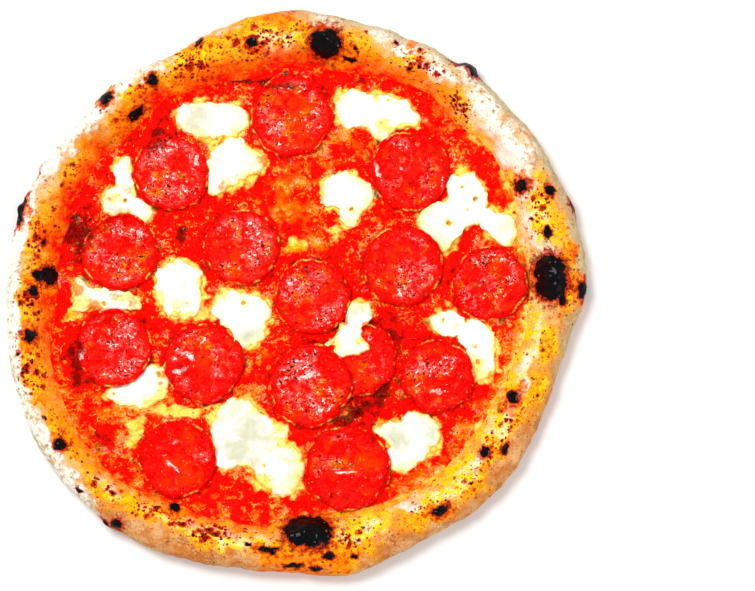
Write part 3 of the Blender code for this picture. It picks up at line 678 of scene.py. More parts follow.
class Tree:
    """A node tree, built node by node."""

    def __init__(self, tree):
        self.tree = tree

    def node(self, kind, settings=None, *values, **named):
        """A node of a kind, with its settings and then its sockets by order or by name."""
        node = self.tree.nodes.new(kind)
        for key, setting in (settings or {}).items():
            setattr(node, key, setting)
        for key, value in [*enumerate(values), *named.items()]:
            self.plug(value, node.inputs[key if isinstance(key, int) else key.replace("_", " ")])
        return node

    def made(self, kind, settings=None, *values, **named):
        """What such a node makes: its first output."""
        return Value(self, self.node(kind, settings, *values, **named).outputs[0])

    def plug(self, value, socket):
        value = value.socket if isinstance(value, Value) else value
        if isinstance(value, bpy.types.NodeSocket):
            self.tree.links.new(value, socket)
        else:
            socket.default_value = (*value, 1) if socket.type == "RGBA" else value


class Finish(Tree):
    """One material, painted coat on coat."""

    def __init__(self, name, shades=None, ground=None):
        self.material = bpy.data.materials.new(name)
        self.material.use_nodes = True
        super().__init__(self.material.node_tree)
        self.shader = self.tree.nodes["Principled BSDF"]
        self.place = self.node("ShaderNodeTexCoord").outputs["Object"]
        self.shades = shades
        self.shade = ground

    def attribute(self, name):
        return Value(self, self.node("ShaderNodeAttribute", {"attribute_name": name}).outputs["Fac"])

    def height(self):
        """Height in millimetres."""
        return Value(self, self.node("ShaderNodeSeparateXYZ", None, self.place).outputs["Z"]) * (1 / MM)

    def moved(self, *offset):
        """The surface's coordinates moved by an offset in metres."""
        return self.made("ShaderNodeVectorMath", {"operation": "ADD"}, self.place, offset)

    def cloud(self, size, detail, layer, distortion=0.0, roughness=0.5):
        """Soft noise from 0 to 1 with patches about as wide as size, in millimetres."""
        return self.made("ShaderNodeTexNoise", None, Vector=self.moved(0.37 * layer, 0.11 * layer, 0),
                         Scale=1 / (size * MM), Detail=detail, Roughness=roughness,
                         Distortion=distortion)

    def cells(self, size, layer, warp):
        """Distance from the middle of random cells about as wide as size, in cell widths, and
        a random number for each cell. The warp makes them ragged."""
        place = self.moved(0.29 * layer, 0.17 * layer, 0)
        scale = 1 / (size * MM)
        shift = self.node("ShaderNodeTexNoise", None, Vector=place, Scale=scale, Detail=2.0)
        shift = self.made("ShaderNodeVectorMath", {"operation": "SCALE"}, Vector=shift.outputs["Color"],
                          Scale=warp / scale)
        place = self.made("ShaderNodeVectorMath", {"operation": "ADD"}, place, shift)
        node = self.node("ShaderNodeTexVoronoi", None, Vector=place, Scale=scale)
        chance = self.made("ShaderNodeSeparateColor", None, node.outputs["Color"])
        return Value(self, node.outputs["Distance"]), chance

    def mix(self, factor, under, over):
        """A colour between two, which are made ones or names of the pizza's colours."""
        node = self.node("ShaderNodeMix", {"data_type": "RGBA"})
        for value, socket in ((factor, MIX_FACTOR), (under, MIX_UNDER), (over, MIX_OVER)):
            value = getattr(self.shades, value) if isinstance(value, str) else value
            self.plug(value, node.inputs[socket])
        return node.outputs[MIX_RESULT]

    def paint(self, mask, over):
        """Puts a colour over what is painted so far, where the mask is 1."""
        self.shade = self.mix(mask, self.shade, over)

    def relief(self, height, depth):
        """A bump of a depth in millimetres."""
        bump = self.made("ShaderNodeBump", None, Strength=1.0, Distance=depth * MM, Height=height)
        self.plug(bump, self.shader.inputs["Normal"])

    def surface(self, **sockets):
        """The material, with what is painted as its colour and the given values in its sockets."""
        for name, value in {"Base_Color": self.shade, **sockets}.items():
            self.plug(value, self.shader.inputs[name.replace("_", " ")])
        return self.material


def scatter_tree(name, labels, material):
    """A geometry node tree that scatters small lumps on a surface, and its inputs' identifiers.
    The labels name its inputs."""
    tree = Tree(bpy.data.node_groups.new(name, "GeometryNodeTree"))
    sockets = tree.tree.interface
    sockets.new_socket("Surface", in_out="INPUT", socket_type="NodeSocketGeometry")
    keys = {}
    for label in labels:
        kind = "NodeSocketInt" if label == "Seed" else "NodeSocketFloat"
        keys[label] = sockets.new_socket(label, in_out="INPUT", socket_type=kind).identifier
    sockets.new_socket("Bodies", in_out="OUTPUT", socket_type="NodeSocketGeometry")
    given = tree.node("NodeGroupInput").outputs
    size, sunk, unevenness = (Value(tree, given[label]) for label in ("Size", "Sunk", "Unevenness"))

    def random(low, high, seed):
        node = tree.node("FunctionNodeRandomValue", {"data_type": "FLOAT"}, Seed=seed)
        node.inputs[RANDOM_LOW].default_value = low
        node.inputs[RANDOM_HIGH].default_value = high
        return Value(tree, node.outputs[RANDOM_RESULT])

    chosen = tree.made("GeometryNodeInputNamedAttribute", {"data_type": "FLOAT"}, Name="weight")
    points = tree.node("GeometryNodeDistributePointsOnFaces", {"distribute_method": "POISSON"},
                       Mesh=given["Surface"], Distance_Min=given["Least Distance"],
                       Density_Max=given["Density"], Density_Factor=chosen, Seed=given["Seed"])
    ball = tree.made("GeometryNodeMeshIcoSphere", None, Radius=1.0, Subdivisions=2)
    squat = tree.made("ShaderNodeCombineXYZ", None, 1.0, 1.0, given["Tallness"])
    depth = tree.made("ShaderNodeCombineXYZ", None, 0.0, 0.0, sunk * -1.0)
    lump = tree.made("GeometryNodeTransform", None, Geometry=ball, Scale=squat, Translation=depth)
    wide, long = random(*BODY_WIDTHS, 5), random(*BODY_WIDTHS, 6)
    turn = tree.made("FunctionNodeAxisAngleToRotation", None, Angle=random(0, FULL_TURN, 7))
    spin = tree.made("FunctionNodeRotateRotation", {"rotation_space": "LOCAL"},
                     points.outputs["Rotation"], turn)
    scale = tree.made("ShaderNodeCombineXYZ", None, size * wide, size * long, size * wide)
    bodies = tree.made("GeometryNodeInstanceOnPoints", None, Points=points.outputs["Points"],
                       Instance=lump, Rotation=spin, Scale=scale)
    bodies = tree.made("GeometryNodeRealizeInstances", None, bodies)
    rough = tree.made("ShaderNodeTexNoise", None, Vector=tree.made("GeometryNodeInputPosition"),
                      Scale=UNEVEN_SCALE, Detail=1.0)
    push = tree.made("ShaderNodeVectorMath", {"operation": "SCALE"},
                     Vector=tree.made("GeometryNodeInputNormal"), Scale=(rough - 0.5) * unevenness)
    bodies = tree.made("GeometryNodeSetPosition", None, Geometry=bodies, Offset=push)
    bodies = tree.made("GeometryNodeSetShadeSmooth", None, Geometry=bodies, Shade_Smooth=True)
    bodies = tree.made("GeometryNodeRealizeInstances", None, bodies)
    bodies = tree.made("GeometryNodeSetMaterial", None, Geometry=bodies, Material=material)
    tree.node("NodeGroupOutput", None, bodies)
    return tree.tree, keys


def scatter_bodies(name, surface, material, slot_name, settings):
    """Scatters lumps over a surface as one plain mesh. Settings hold the least distance, the
    density, the size, how tall and how uneven a lump is, how deep it sits, and the seed."""
    points, faces, weight = SURFACES[surface]
    bodies = add_piece(name, points, faces, material, {"weight": weight})
    modifier = bodies.modifiers.new("Scatter", "NODES")
    modifier.node_group, keys = scatter_tree(name + "_tree", settings, material)
    for label, value in settings.items():
        modifier[keys[label]] = value
    graph = bpy.context.evaluated_depsgraph_get()
    mesh = bpy.data.meshes.new_from_object(bodies.evaluated_get(graph), depsgraph=graph)
    bodies.modifiers.clear()
    bodies.data = mesh
    spots = np.empty(3 * len(mesh.vertices))
    mesh.vertices.foreach_get("co", spots)
    mesh.vertices.foreach_set("co", np.clip(spots.reshape(-1, 3), *np.array(CAD_BOX)).ravel())
    mesh.update()
    mount_piece(bodies, slot_name)


# Properties


def colour(name, description, red, green, blue):
    return bpy.props.FloatVectorProperty(name=name, description=description, subtype="COLOR",
                                         size=3, min=0, max=1, default=linear(red, green, blue))


def length(name, description, default):
    return bpy.props.FloatProperty(name=name, description=description, default=default * MM,
                                   min=0, unit="LENGTH", precision=5)


class PizzaColours(bpy.types.PropertyGroup):
    crust: colour("Crust", "Baked dough between the toasted places", 246, 206, 146)
    # Pale flour, also painted as highlight where the rim faces the light
    flour_and_highlight: colour("Floured crust", "Pale crust under a film of flour", 255, 250, 236)
    # Grey of the flour at random, and painted shade on the lower wall and by the side facing the light
    dust_and_shade: colour("Dusty crust", "Grey-cream shade in the floured crust", 214, 196, 150)
    tanned: colour("Tanned crust", "Salmon tan of the outer rim", 204, 118, 54)
    golden: colour("Golden crust", "Bright yellow, oily crust beside the sauce", 255, 222, 20)
    # On the rim partly painted highlight on the slope facing the light; on the mozzarella its cream
    buttery: colour("Buttery crust", "Palest part of the golden crust", 255, 248, 176)
    amber: colour("Amber crust", "Yellow-orange between gold and toast", 255, 188, 0)
    peachy: colour("Peachy crust", "Light places of the tan", 240, 172, 104)
    # Painted shade: the olive-grey painted on the lower wall where it turns away from the light
    wall_shade: colour("Shady crust", "Olive-grey of the lower wall", 186, 168, 126)
    smoky: colour("Smoky specks", "Small dark specks of the tan", 92, 40, 14)
    scarlet: colour("Scarlet spots", "Red rims of the leopard spots", 214, 30, 0)
    scorched: colour("Scorched crust", "Red-orange of the hottest stretches", 255, 80, 0)
    toasted: colour("Toasted crust", "Orange of the toasted stretches", 255, 142, 0)
    browned: colour("Browned crust", "Rims of the burnt spots", 128, 26, 4)
    burnt: colour("Burnt crust", "The burnt spots and domes", 0, 0, 4)
    tomato: colour("Tomato", "The sauce", 254, 1, 0)
    # Painted shade: the sauce darkened in creases and shadows; on the salami, also random darker places
    deep_tomato: colour("Deep tomato", "The sauce in its creases", 96, 0, 0)
    oil: colour("Orange oil", "Oil that has taken the tomato's colour", 255, 124, 0)
    film: colour("Cheese film", "Cheese melted to a thin yellow film", 255, 232, 104)
    mozzarella: colour("Mozzarella", "Melted mozzarella", 246, 245, 240)
    # Painted shade: grey-green on the mozzarella
    cheese_shade: colour("Shading", "Grey-green shade where the mozzarella is thin", 198, 200, 156)
    salami: colour("Salami", "Lean of the salami", 254, 0, 0)
    casing: colour("Casing", "Smooth edge of a slice", 236, 0, 0)
    fat: colour("Fat", "Fat grains in the salami", 255, 150, 140)


class PizzaSizes(bpy.types.PropertyGroup):
    crust_crease: length("Crust creases", "Height of the creases in the rim", 0.55)
    crust_bump: length("Crust bumps", "Height of the small bumps on the rim", 0.28)
    pulp: length("Sauce pulp", "Height of the sauce's pulp", 0.42)
    patch_bump: length("Mozzarella bumps", "Height of the bumps on the mozzarella", 0.3)
    slice_bump: length("Salami bumps", "Height of the bumps on a slice", 0.3)
    slice_lip: length("Salami lip", "Height of the lip round a slice", 0.35)
    blister: length("Rim blister", "Radius of a small burnt blister", 0.6)
    bead: length("Oil bead", "Radius of an oil bead", 0.45)
    fleck: length("Tomato fleck", "Radius of a fleck of tomato", 1.2)


# Finishes


def baked_finish(name, shades):
    """The dough: tanned, golden and toasted by stretches, pale with flour and painted highlight,
    grey with painted shade on the lower wall, and with burnt spots.
    """
    finish = Finish(name, shades, "crust")
    cloud, mask, mix, paint = finish.cloud, finish.attribute, finish.mix, finish.paint
    # Painted light and shade: the side facing the light gets a yellower, less red slope and greyer outer
    # flour
    across, leopard, lit_side = mask("across"), mask("leopard"), mask("lit_side")
    wide = cloud(14, 3, 1)
    patchy = cloud(5, 4, 2, roughness=0.6)
    clusters = cloud(7, 3, 4)
    mottled = cloud(2.6, 3, 5, roughness=0.6)
    fine = cloud(1.1, 3, 3)
    paint((wide * 0.5 + patchy * 0.7).step(0.48, 0.75), "tanned")
    tan = mix((clusters * 0.6 + mottled * 0.5).step(0.5, 0.68), "tanned", "peachy")
    tan = mix((mottled + fine.swing(0.5)).step(0.54, 0.66) * 0.6, tan, "toasted")
    tan = mix((clusters + fine.swing(0.6)).step(0.5, 0.68) * 0.5, tan, "browned")
    paint((mask("tanned") * (0.4 + patchy * 1.3)).clamped(), tan)
    warm = mix((mottled * 0.5 + patchy * 0.5).step(0.42, 0.58), "toasted", "amber")
    paint((across + patchy.swing(0.5) + wide.swing(0.3)).step(0.4, 0.8) * 0.9, warm)
    hot = mix((mottled * 0.6 + clusters * 0.5).step(0.45, 0.62), "amber", "toasted")
    hot = mix((patchy * 0.6 + mottled * 0.5).step(0.58, 0.7) * 0.8, hot, "scorched")
    hot = mix((clusters + mottled.swing(0.5)).step(0.54, 0.64) * 0.9, hot, "golden")
    paint((leopard * (0.3 + wide + patchy * 0.6)).step(0.1, 0.5) * 0.95, hot)
    gold = mix((clusters + mottled.swing(0.6) - lit_side * 0.04).step(0.4, 0.56), "golden", "buttery")
    gold = mix((patchy + mottled.swing(0.5) - lit_side * 0.05).step(0.52, 0.68) * 0.85, gold, "toasted")
    gold = mix((patchy + fine.swing(0.5)).step(0.64, 0.76) * 0.7, gold, "scorched")
    golden = (mask("golden") * (0.35 + patchy * 1.3)).step(0.22, 0.6)
    paint(golden, gold)
    # Grey in the flour: at random, and painted shade and highlight by the side facing the light
    dust_and_shade = wide * 0.5 + mottled * 0.7 + lit_side * (0.42 - across) * 0.5
    # Flour, partly painted highlight where the rim faces the light
    flour_and_highlight = (mask("flour_and_highlight") + patchy.swing(0.9)).step(0.22, 0.6)
    paint(flour_and_highlight, mix(dust_and_shade.step(0.6, 0.8), "flour_and_highlight", "dust_and_shade"))
    # Painted shade: the lower wall, painted grey on the side turned away from the light
    wall = (mask("wall") + mottled.swing(0.8)).step(0.2, 0.8)
    paint(wall * 0.8, mix(mottled.step(0.4, 0.6), "wall_shade", "dust_and_shade"))
    edged = mix((clusters + fine.swing(0.3)).step(0.42, 0.56), gold, warm)
    near_sauce = (across + patchy.swing(0.5) + wide.swing(0.4) - lit_side * 0.22).step(0.44, 0.8)
    paint(near_sauce * 0.9, mix(lit_side * 0.85, "scorched", edged))
    stain = (across + patchy.swing(0.6) + wide.swing(0.4) - lit_side * 0.34).step(0.74, 0.94)
    paint(stain, mix((patchy + fine * 0.4).step(0.7, 0.95), "tomato", "oil"))
    rusty = cloud(3.0, 3, 12).step(0.6, 0.68) * (patchy * 0.9 + wide * 0.5).step(0.6, 0.78)
    paint(rusty * 0.8, mix(fine.step(0.45, 0.6), "toasted", "tanned"))
    dense = (leopard * (0.55 + clusters * 0.9) + golden * 0.25 + rusty * 0.4).clamped()
    for size, layer, share in ((4.8, 1, 0.86), (2.8, 2, 0.84), (1.7, 3, 0.74)):
        away, chance = finish.cells(size, layer, 0.7)
        grown = (dense * share - chance) * 0.8 + fine.swing(0.45) - away
        paint(grown.step(-0.2, 0.0) * 0.85, "scarlet")
        paint(grown.step(0.0, 0.16), "browned")
        paint(grown.step(0.14, 0.26), "burnt")
    pepper = cloud(1.2, 2, 13) + mask("tanned") * 0.05 - flour_and_highlight * 0.04
    paint(pepper.step(0.69, 0.73) * 0.85, "smoky")
    browned = (mask("browned") + patchy.swing(0.9) + mottled.swing(0.8)).step(0.35, 0.75)
    paint(browned * 0.85, mix(mottled.step(0.45, 0.6), "toasted", "scorched"))
    char = mask("burnt") + mottled.swing(0.7) + fine.swing(0.35)
    halo = mix((fine * 0.5 + mottled * 0.6).step(0.5, 0.62), "scarlet", "browned")
    paint(char.step(0.02, 0.3) * 0.9, halo)
    below = finish.height().step(0.9, 0.1)
    burnt = char.step(0.36, 0.5) * (1 - below)
    paint(burnt, "burnt")
    base = mix(wide.step(0.4, 0.6), "crust", "peachy")
    base = mix(cloud(30, 3, 14).step(0.46, 0.6) * 0.8, base, "flour_and_highlight")
    spots = cloud(9, 4, 8) + fine.swing(0.1)
    for low, high, tone in ((0.5, 0.62, "tanned"), (0.6, 0.68, "browned"), (0.67, 0.72, "burnt")):
        base = mix(spots.step(low, high) * 0.9, base, tone)
    paint(below, base)
    bubbles, _ = finish.cells(1.0, 7, 0.5)
    finish.relief(patchy * 0.6 + fine * 0.35 + mottled * 0.3 + burnt * (0.4 - bubbles * 0.8), 1.2)
    return finish.surface(Roughness=0.75 - burnt * 0.3 - stain * 0.3, Specular_IOR_Level=0.06,
                          Coat_Weight=burnt * 0.15, Coat_Roughness=0.12)


def sauce_finish(name, shades):
    """Tomato sauce: red pulp, orange oil, yellow film round the cheese, painted highlight streaks and
    painted shade in creases, in shadows and beside the slices.
    """
    finish = Finish(name, shades, "tomato")
    cloud, mask, mix, paint = finish.cloud, finish.attribute, finish.mix, finish.paint
    wide = cloud(11, 3, 1)
    patchy = cloud(6, 3, 2, roughness=0.55)
    mottled = cloud(4.2, 3, 7)
    fine = cloud(1.7, 3, 3)
    streaks = cloud(3.6, 2, 4, distortion=1.8)
    oily = mask("oily") * 0.75 + patchy.swing(1.7) + mottled.swing(1.2) + wide.swing(1.7)
    paint(oily.step(0.25, 0.6) * 0.75, "scorched")
    paint(oily.step(0.55, 1.05) * 0.9, "oil")
    # Painted highlight: orange gleam streaks, which also get a coat
    gleam = (streaks + wide.swing(0.9) + mask("oily") * 0.1).step(0.62, 0.68)
    paint(gleam * 0.7, "toasted")
    filmed = mask("filmed") + patchy.swing(1.1) + mottled.swing(0.8)
    film = mix((patchy + streaks.swing(0.6)).step(0.34, 0.56), "amber", "film")
    paint(filmed.step(0.35, 0.8), film)
    curls = cloud(3.6, 2, 6, distortion=1.5).winding().step(0.05, 0.02)
    pale = curls * (wide + mottled.swing(0.9)).step(0.58, 0.72)
    paint(pale * 0.75, mix(patchy.step(0.45, 0.6), "fat", "film"))
    # Painted shade in creases and shadows, mixed with random darker places
    dark = mask("dark") * 1.05 + patchy.swing(1.5) + mottled.swing(1.6)
    paint(dark.step(0.2, 0.9) * 0.9, "deep_tomato")
    # Painted shade: black at the heart of the deepest shaded places
    paint(dark.step(1.05, 1.35) * 0.8, "burnt")
    # Black specks, a few more in the painted shade
    specks = cloud(2.2, 2, 5) + pale * 0.05 + mask("dark") * 0.08
    paint(specks.step(0.7, 0.73) * 0.9, "burnt")
    finish.relief(patchy * 0.6 + fine * 0.4 + streaks * 0.5, 1.8)
    return finish.surface(Roughness=0.2 + fine * 0.2, Specular_IOR_Level=0.2,
                          Specular_Tint=RED_SHEEN, Coat_Weight=gleam * 0.2, Coat_Roughness=0.08)


def mozzarella_finish(name, shades):
    """Melted mozzarella: white, with grey-green painted shade, yellow edges and brown marks."""
    finish = Finish(name, shades, "mozzarella")
    cloud, mask, mix, paint = finish.cloud, finish.attribute, finish.mix, finish.paint
    share = mask("share")
    wide = cloud(12, 2, 3)
    patchy = cloud(5, 3, 1)
    fine = cloud(1.6, 3, 2)
    # Painted shade: grey-green places on the mozzarella
    shaded_spots = (mask("shaded_spots") + patchy.swing(1.2) + wide.swing(0.5)).step(0.1, 0.95)
    paint(shaded_spots * 0.7, "cheese_shade")
    soft = (share + patchy.swing(0.5) + wide.swing(0.8)).step(0.66, 1.0)
    paint(soft * 0.8, "buttery")
    yellowed = mask("yellowed") * 0.9 + soft * 0.3 + patchy.swing(0.8) + fine.swing(0.4)
    paint(yellowed.step(0.3, 0.8) * 0.9, mix(fine.step(0.5, 0.66), "film", "amber"))
    edge = (share + patchy.swing(0.3) + wide.swing(0.5) + fine.swing(0.12)).step(0.91, 1.03)
    paint(edge * 0.8, mix(patchy.step(0.4, 0.6), "buttery", "film"))
    outermost = (share + patchy.swing(0.16) + fine.swing(0.12)).step(0.93, 1.0)
    paint(outermost * 0.8, mix(patchy.step(0.46, 0.62), "film", "amber"))
    thin = (mask("thin") + patchy.swing(0.6) + fine.swing(0.6)).step(0.25, 0.7)
    paint(thin * 0.9, mix(thin, "film", mix(fine.step(0.44, 0.6), "oil", "toasted")))
    marked = mask("marked")
    paint((marked + fine.swing(0.4)).step(0.18, 0.55) * 0.8, "film")
    paint((marked + fine.swing(0.6)).step(0.45, 0.75) * 0.85,
          mix(fine.step(0.4, 0.6), "browned", "toasted"))
    finish.relief(patchy * 0.5 + fine * 0.2, 0.8)
    return finish.surface(Roughness=0.34 + fine * 0.12, Specular_IOR_Level=0.2)


def salami_finish(name, shades):
    """Salami: red lean, pink fat grains, a smooth darker casing, a glossy coat, painted glints and a
    painted highlight in oil colours along the edge.
    """
    finish = Finish(name, shades, "salami")
    cloud, mask, mix, paint = finish.cloud, finish.attribute, finish.mix, finish.paint
    share = mask("share")
    wide = cloud(9, 2, 1)
    patchy = cloud(4.4, 3, 2)
    fine = cloud(1.6, 3, 3)
    inside = (share + patchy.swing(0.35)).step(0.94, 0.74)
    warm = (wide + cloud(26, 1, 6).swing(0.8) + patchy.swing(0.8)).step(0.5, 0.76)
    paint(warm * 0.28 * inside, "scorched")
    crowd = cloud(13, 2, 9).swing(2.4) + patchy.swing(1.2) + mask("fatty")
    crowd = crowd.step(0.3, 0.8) * inside
    winding = cloud(4.8, 2, 4, distortion=1.2).winding()
    curls = winding.step(0.06, 0.025) * (0.06 + crowd)
    paint(curls * 0.42, mix(warm, "fat", "amber"))
    grains = (cloud(2.1, 2, 10) + (crowd - 0.6) * 0.1).step(0.57, 0.63) * crowd
    paint(grains * 0.42, mix(warm, "fat", "toasted"))
    # Painted highlight: white and pink glints, which also get a coat
    painted_glints = (cloud(2.4, 2, 8, distortion=0.8) + crowd.swing(0.1)).step(0.64, 0.68) * crowd
    glint_streaks = (mask("glint_streaks") + fine.swing(1.2) + patchy.swing(0.8)).step(0.5, 0.75)
    painted_glints = (painted_glints + glint_streaks).clamped()
    paint(painted_glints * 0.95, mix(fine.step(0.45, 0.6), "mozzarella", "fat"))
    casing = (share + patchy.swing(0.12)).step(0.84, 0.94)
    paint(casing * 0.85, "casing")
    # Painted highlight: a thin broken line in oil colours along the slice's edge
    edge_highlight = (share + patchy.swing(0.03)).step(0.94, 0.96) * (wide + patchy.swing(0.5)).step(0.52, 0.64)
    paint(edge_highlight * 0.8, mix(fine.step(0.4, 0.6), "oil", "film"))
    # Painted shade on the slices, with random darker places, a little more at the casing
    deep = (cloud(7, 3, 11) + casing * 0.05).step(0.58, 0.74) * 0.45
    dark = (mask("dark") * 0.9 + patchy.swing(1.2)).step(0.2, 0.9) * 0.8
    paint((deep + dark).clamped(), "deep_tomato")
    paint((cloud(1.7, 1, 7) + crowd * 0.1).step(0.71, 0.75) * 0.9, "burnt")
    finish.relief(patchy * 0.4 + winding.step(0.06, 0.0) * 0.3 + fine * 0.3, 1.2)
    return finish.surface(Roughness=0.18 + fine * 0.2, Specular_IOR_Level=0.2,
                          Specular_Tint=RED_SHEEN, Coat_Weight=painted_glints * 0.4, Coat_Roughness=0.06)


def burnt_finish(name, shades):
    """The small blisters of the rim, brown to black."""
    finish = Finish(name, shades, "burnt")
    fine = finish.cloud(1.2, 3, 1)
    finish.paint(finish.cloud(6, 2, 2).step(0.42, 0.58), "browned")
    finish.paint(fine.step(0.5, 0.8) * 0.5, "toasted")
    finish.relief(fine, 0.2)
    return finish.surface(Roughness=0.4 + fine * 0.2)


def oil_finish(name, shades):
    """Beads of orange oil."""
    finish = Finish(name, shades, "tomato")
    fine = finish.cloud(8, 2, 1)
    finish.paint(fine.step(0.35, 0.65), "oil")
    return finish.surface(Roughness=0.08 + fine * 0.05, Specular_IOR_Level=0.4, Coat_Weight=0.3,
                          Coat_Roughness=0.04)


def fleck_finish(name, shades):
    """Flecks of tomato in the sauce."""
    finish = Finish(name, shades, "tomato")
    fine = finish.cloud(0.9, 3, 2)
    finish.paint(finish.cloud(4, 3, 1).step(0.42, 0.6), "oil")
    finish.paint(fine.step(0.6, 0.75) * 0.5, "film")
    finish.relief(fine, 0.3)
    return finish.surface(Roughness=0.2 + fine * 0.15, Specular_IOR_Level=0.08, Coat_Weight=0.04,
                          Coat_Roughness=0.1)


# Operators


# Points, faces and weights of finished pieces, for what is scattered on them
SURFACES = {}


class PIZZA_OT_bake_dough(bpy.types.Operator):
    """Shape the base and the puffed rim, with its creases, blisters and burnt domes"""

    bl_idname = "pizza.bake_dough"
    bl_label = "Bake the Dough"

    def execute(self, context):
        sizes = context.scene.pizza_sizes
        angle = spokes(DOUGH_SPOKES)
        rim = Rim(angle)
        radius, height, fade = rim.section(*RIM_ROWS)
        out, up = np.gradient(radius, axis=0), np.gradient(height, axis=0)
        run = np.hypot(out, up)
        out, up = up / run, -out / run
        x, y = polar(radius, angle)
        burnt = rim_spots(*strayed(x, y, *CHAR_STRAY), CHAR_SPOTS)
        lift = LUMP_HEIGHT * ripple(x, y, LUMP_SIZE, RIM_LUMPS) + raised_spots(x, y, BLISTERS)
        crease = 1 - 2 * np.abs(ripple(x, y, CREASE_SIZE, RIM_CREASES, height))
        bumps = ripple(x, y, BUMP_SIZE, RIM_BUMPS, height)
        lift += sizes.crust_crease / MM * 0.5 * crease + sizes.crust_bump / MM * bumps
        lift += CHAR_LIFT * burnt * (1 + bumps)
        radius = radius + fade * lift * out
        height = height + fade * lift * up
        height[1:] = np.maximum(height[1:], LEAST_HEIGHT)
        x, y = polar(radius, angle)
        points = closed_points(x, y, height, (0, 0, 0), (0, 0, BASE_THICKNESS))
        x, y = strayed(x, y, *RIM_STRAY)
        across = (rim.reach - np.hypot(x, y)) / (rim.reach - rim.edge)
        # Painted shade: the lower wall is painted grey mostly at the right, turned away from the light
        right = np.clip(WALL_SHADE_NARROWNESS * np.cos(angle - WALL_SHADE_ANGLE) - 1, 0, 1)
        shaded = WALL_SHADE_AWAY + (1 - WALL_SHADE_AWAY) * right
        upper = WALL_SHADE_LOW + (1 - WALL_SHADE_LOW) * smooth_step(height, *ABOVE_FLOOR)
        wall = smooth_step(height, *BELOW_CREST) * upper * shaded
        masks = {"across": with_tips(across, 0, 1.5), "burnt": with_tips(burnt),
                 "wall": with_tips(wall * smooth_step(across, 0.55, 0.35)),
                 "lit_side": with_tips(rim.lit_side + 0 * x),
                 "browned": with_tips(rim_spots(x, y, BROWNED_SPOTS))}
        for label, table in STRETCHES.items():
            masks[label] = with_tips(stretches(np.arctan2(y, x), across, table))
        faces = ring_faces(len(radius), DOUGH_SPOKES)
        material = baked_finish("baked_dough", context.scene.pizza_colours)
        dough = add_piece("baked_pizza_dough", points, faces, material, masks)
        mount_piece(dough, "baked_dough", "dough")
        raised = with_tips(height > BLISTERED_ABOVE)
        inside = raised * (masks["across"] < 0.95) * (masks["across"] > -0.05)
        clustered = np.clip(CLUSTER_CONTRAST * ripple(x, y, CLUSTER_SIZE, STRAY), 0, 1)
        weight = masks["leopard"] ** 1.5 * with_tips(clustered) + FEW_ANYWHERE
        SURFACES["rim"] = points, faces, weight * inside
        return {"FINISHED"}


class PIZZA_OT_spread_sauce(bpy.types.Operator):
    """Spread the tomato sauce, with pulp, oil and thin cheese on its surface"""

    bl_idname = "pizza.spread_sauce"
    bl_label = "Spread the Sauce"

    def execute(self, context):
        pulp = context.scene.pizza_sizes.pulp / MM
        angle = spokes(SAUCE_SPOKES)
        rim = Rim(angle)
        under = np.array(SAUCE_UNDER_RINGS)[:, None] * rim.edge
        lip = np.array(SAUCE_LIP_RINGS)[:, None] * rim.edge
        share = np.linspace(1, 1 / SAUCE_RINGS, SAUCE_RINGS)[:, None]
        over = share * rim.edge
        x, y = polar(over, angle)
        lumps = ripple(x, y, PULP_SIZE, PULP) + 0.5 * ripple(x, y, PULP_FINE_SIZE, PULP_FINE)
        thickness = SAUCE_THICKNESS + SAUCE_RIPPLE * ripple(x, y, SAUCE_RIPPLE_SIZE, SAUCE_RIPPLES)
        thickness = smooth_step(share, 1.005, 0.95) * (GAP + thickness + pulp * lumps)
        radius = np.concatenate((under, lip, over))
        height = np.concatenate((rim.slope_height(under) + GAP,
                                 rim.slope_height(lip) + np.array(SAUCE_LIP_RISES)[:, None],
                                 rim.slope_height(over) + thickness))
        x, y = polar(radius, angle)
        middle = BASE_THICKNESS + GAP
        points = closed_points(x, y, height, (0, 0, middle), (0, 0, middle + SAUCE_THICKNESS))
        x, y = strayed(x, y, *SAUCE_STRAY)
        pull = np.max([patch_fields(x, y, lobes) for lobes in MOZZARELLA_PATCHES], axis=0)
        halo = np.exp(np.minimum(np.log(pull + 1e-9), 0) / HALO_WIDTH)
        outer = np.hypot(x, y) / rim.edge
        # Painted shadow: a darker ring on the sauce beside each slice, with less oil and film there
        beside = shadow_beside_slices(x, y)
        oily = np.maximum(places(x, y, OILY_PLACES), 0.8 * halo)
        # On the side facing the light the sauce's edge is painted orange and yellow: partly oil, partly
        # painted highlight
        oily = np.maximum(oily, rim.lit_side * smooth_step(outer, 0.92, 0.99)) * (1 - 0.5 * beside)
        filmed = np.maximum(places(x, y, CHEESY_PLACES), 0.75 * halo)
        filmed = np.maximum(filmed, 0.65 * rim.lit_side * smooth_step(outer, 0.96, 1.0))
        masks = {"oily": with_tips(oily, 0, 0.4), "filmed": with_tips(filmed * (1 - 0.8 * beside)),
                 "dark": with_tips(np.maximum(places(x, y, SHADOWED_PLACES), 0.4 * beside))}
        faces = ring_faces(len(radius), SAUCE_SPOKES)
        material = sauce_finish("tomato", context.scene.pizza_colours)
        sauce = add_piece("spread_sauce", points, faces, material, masks)
        mount_piece(sauce, "tomato", "tomato_sauce")
        top = np.arange(len(radius))[:, None] >= len(radius) - len(over)
        SURFACES["sauce"] = points, faces, with_tips(top + 0 * x, 0, 1)
        return {"FINISHED"}


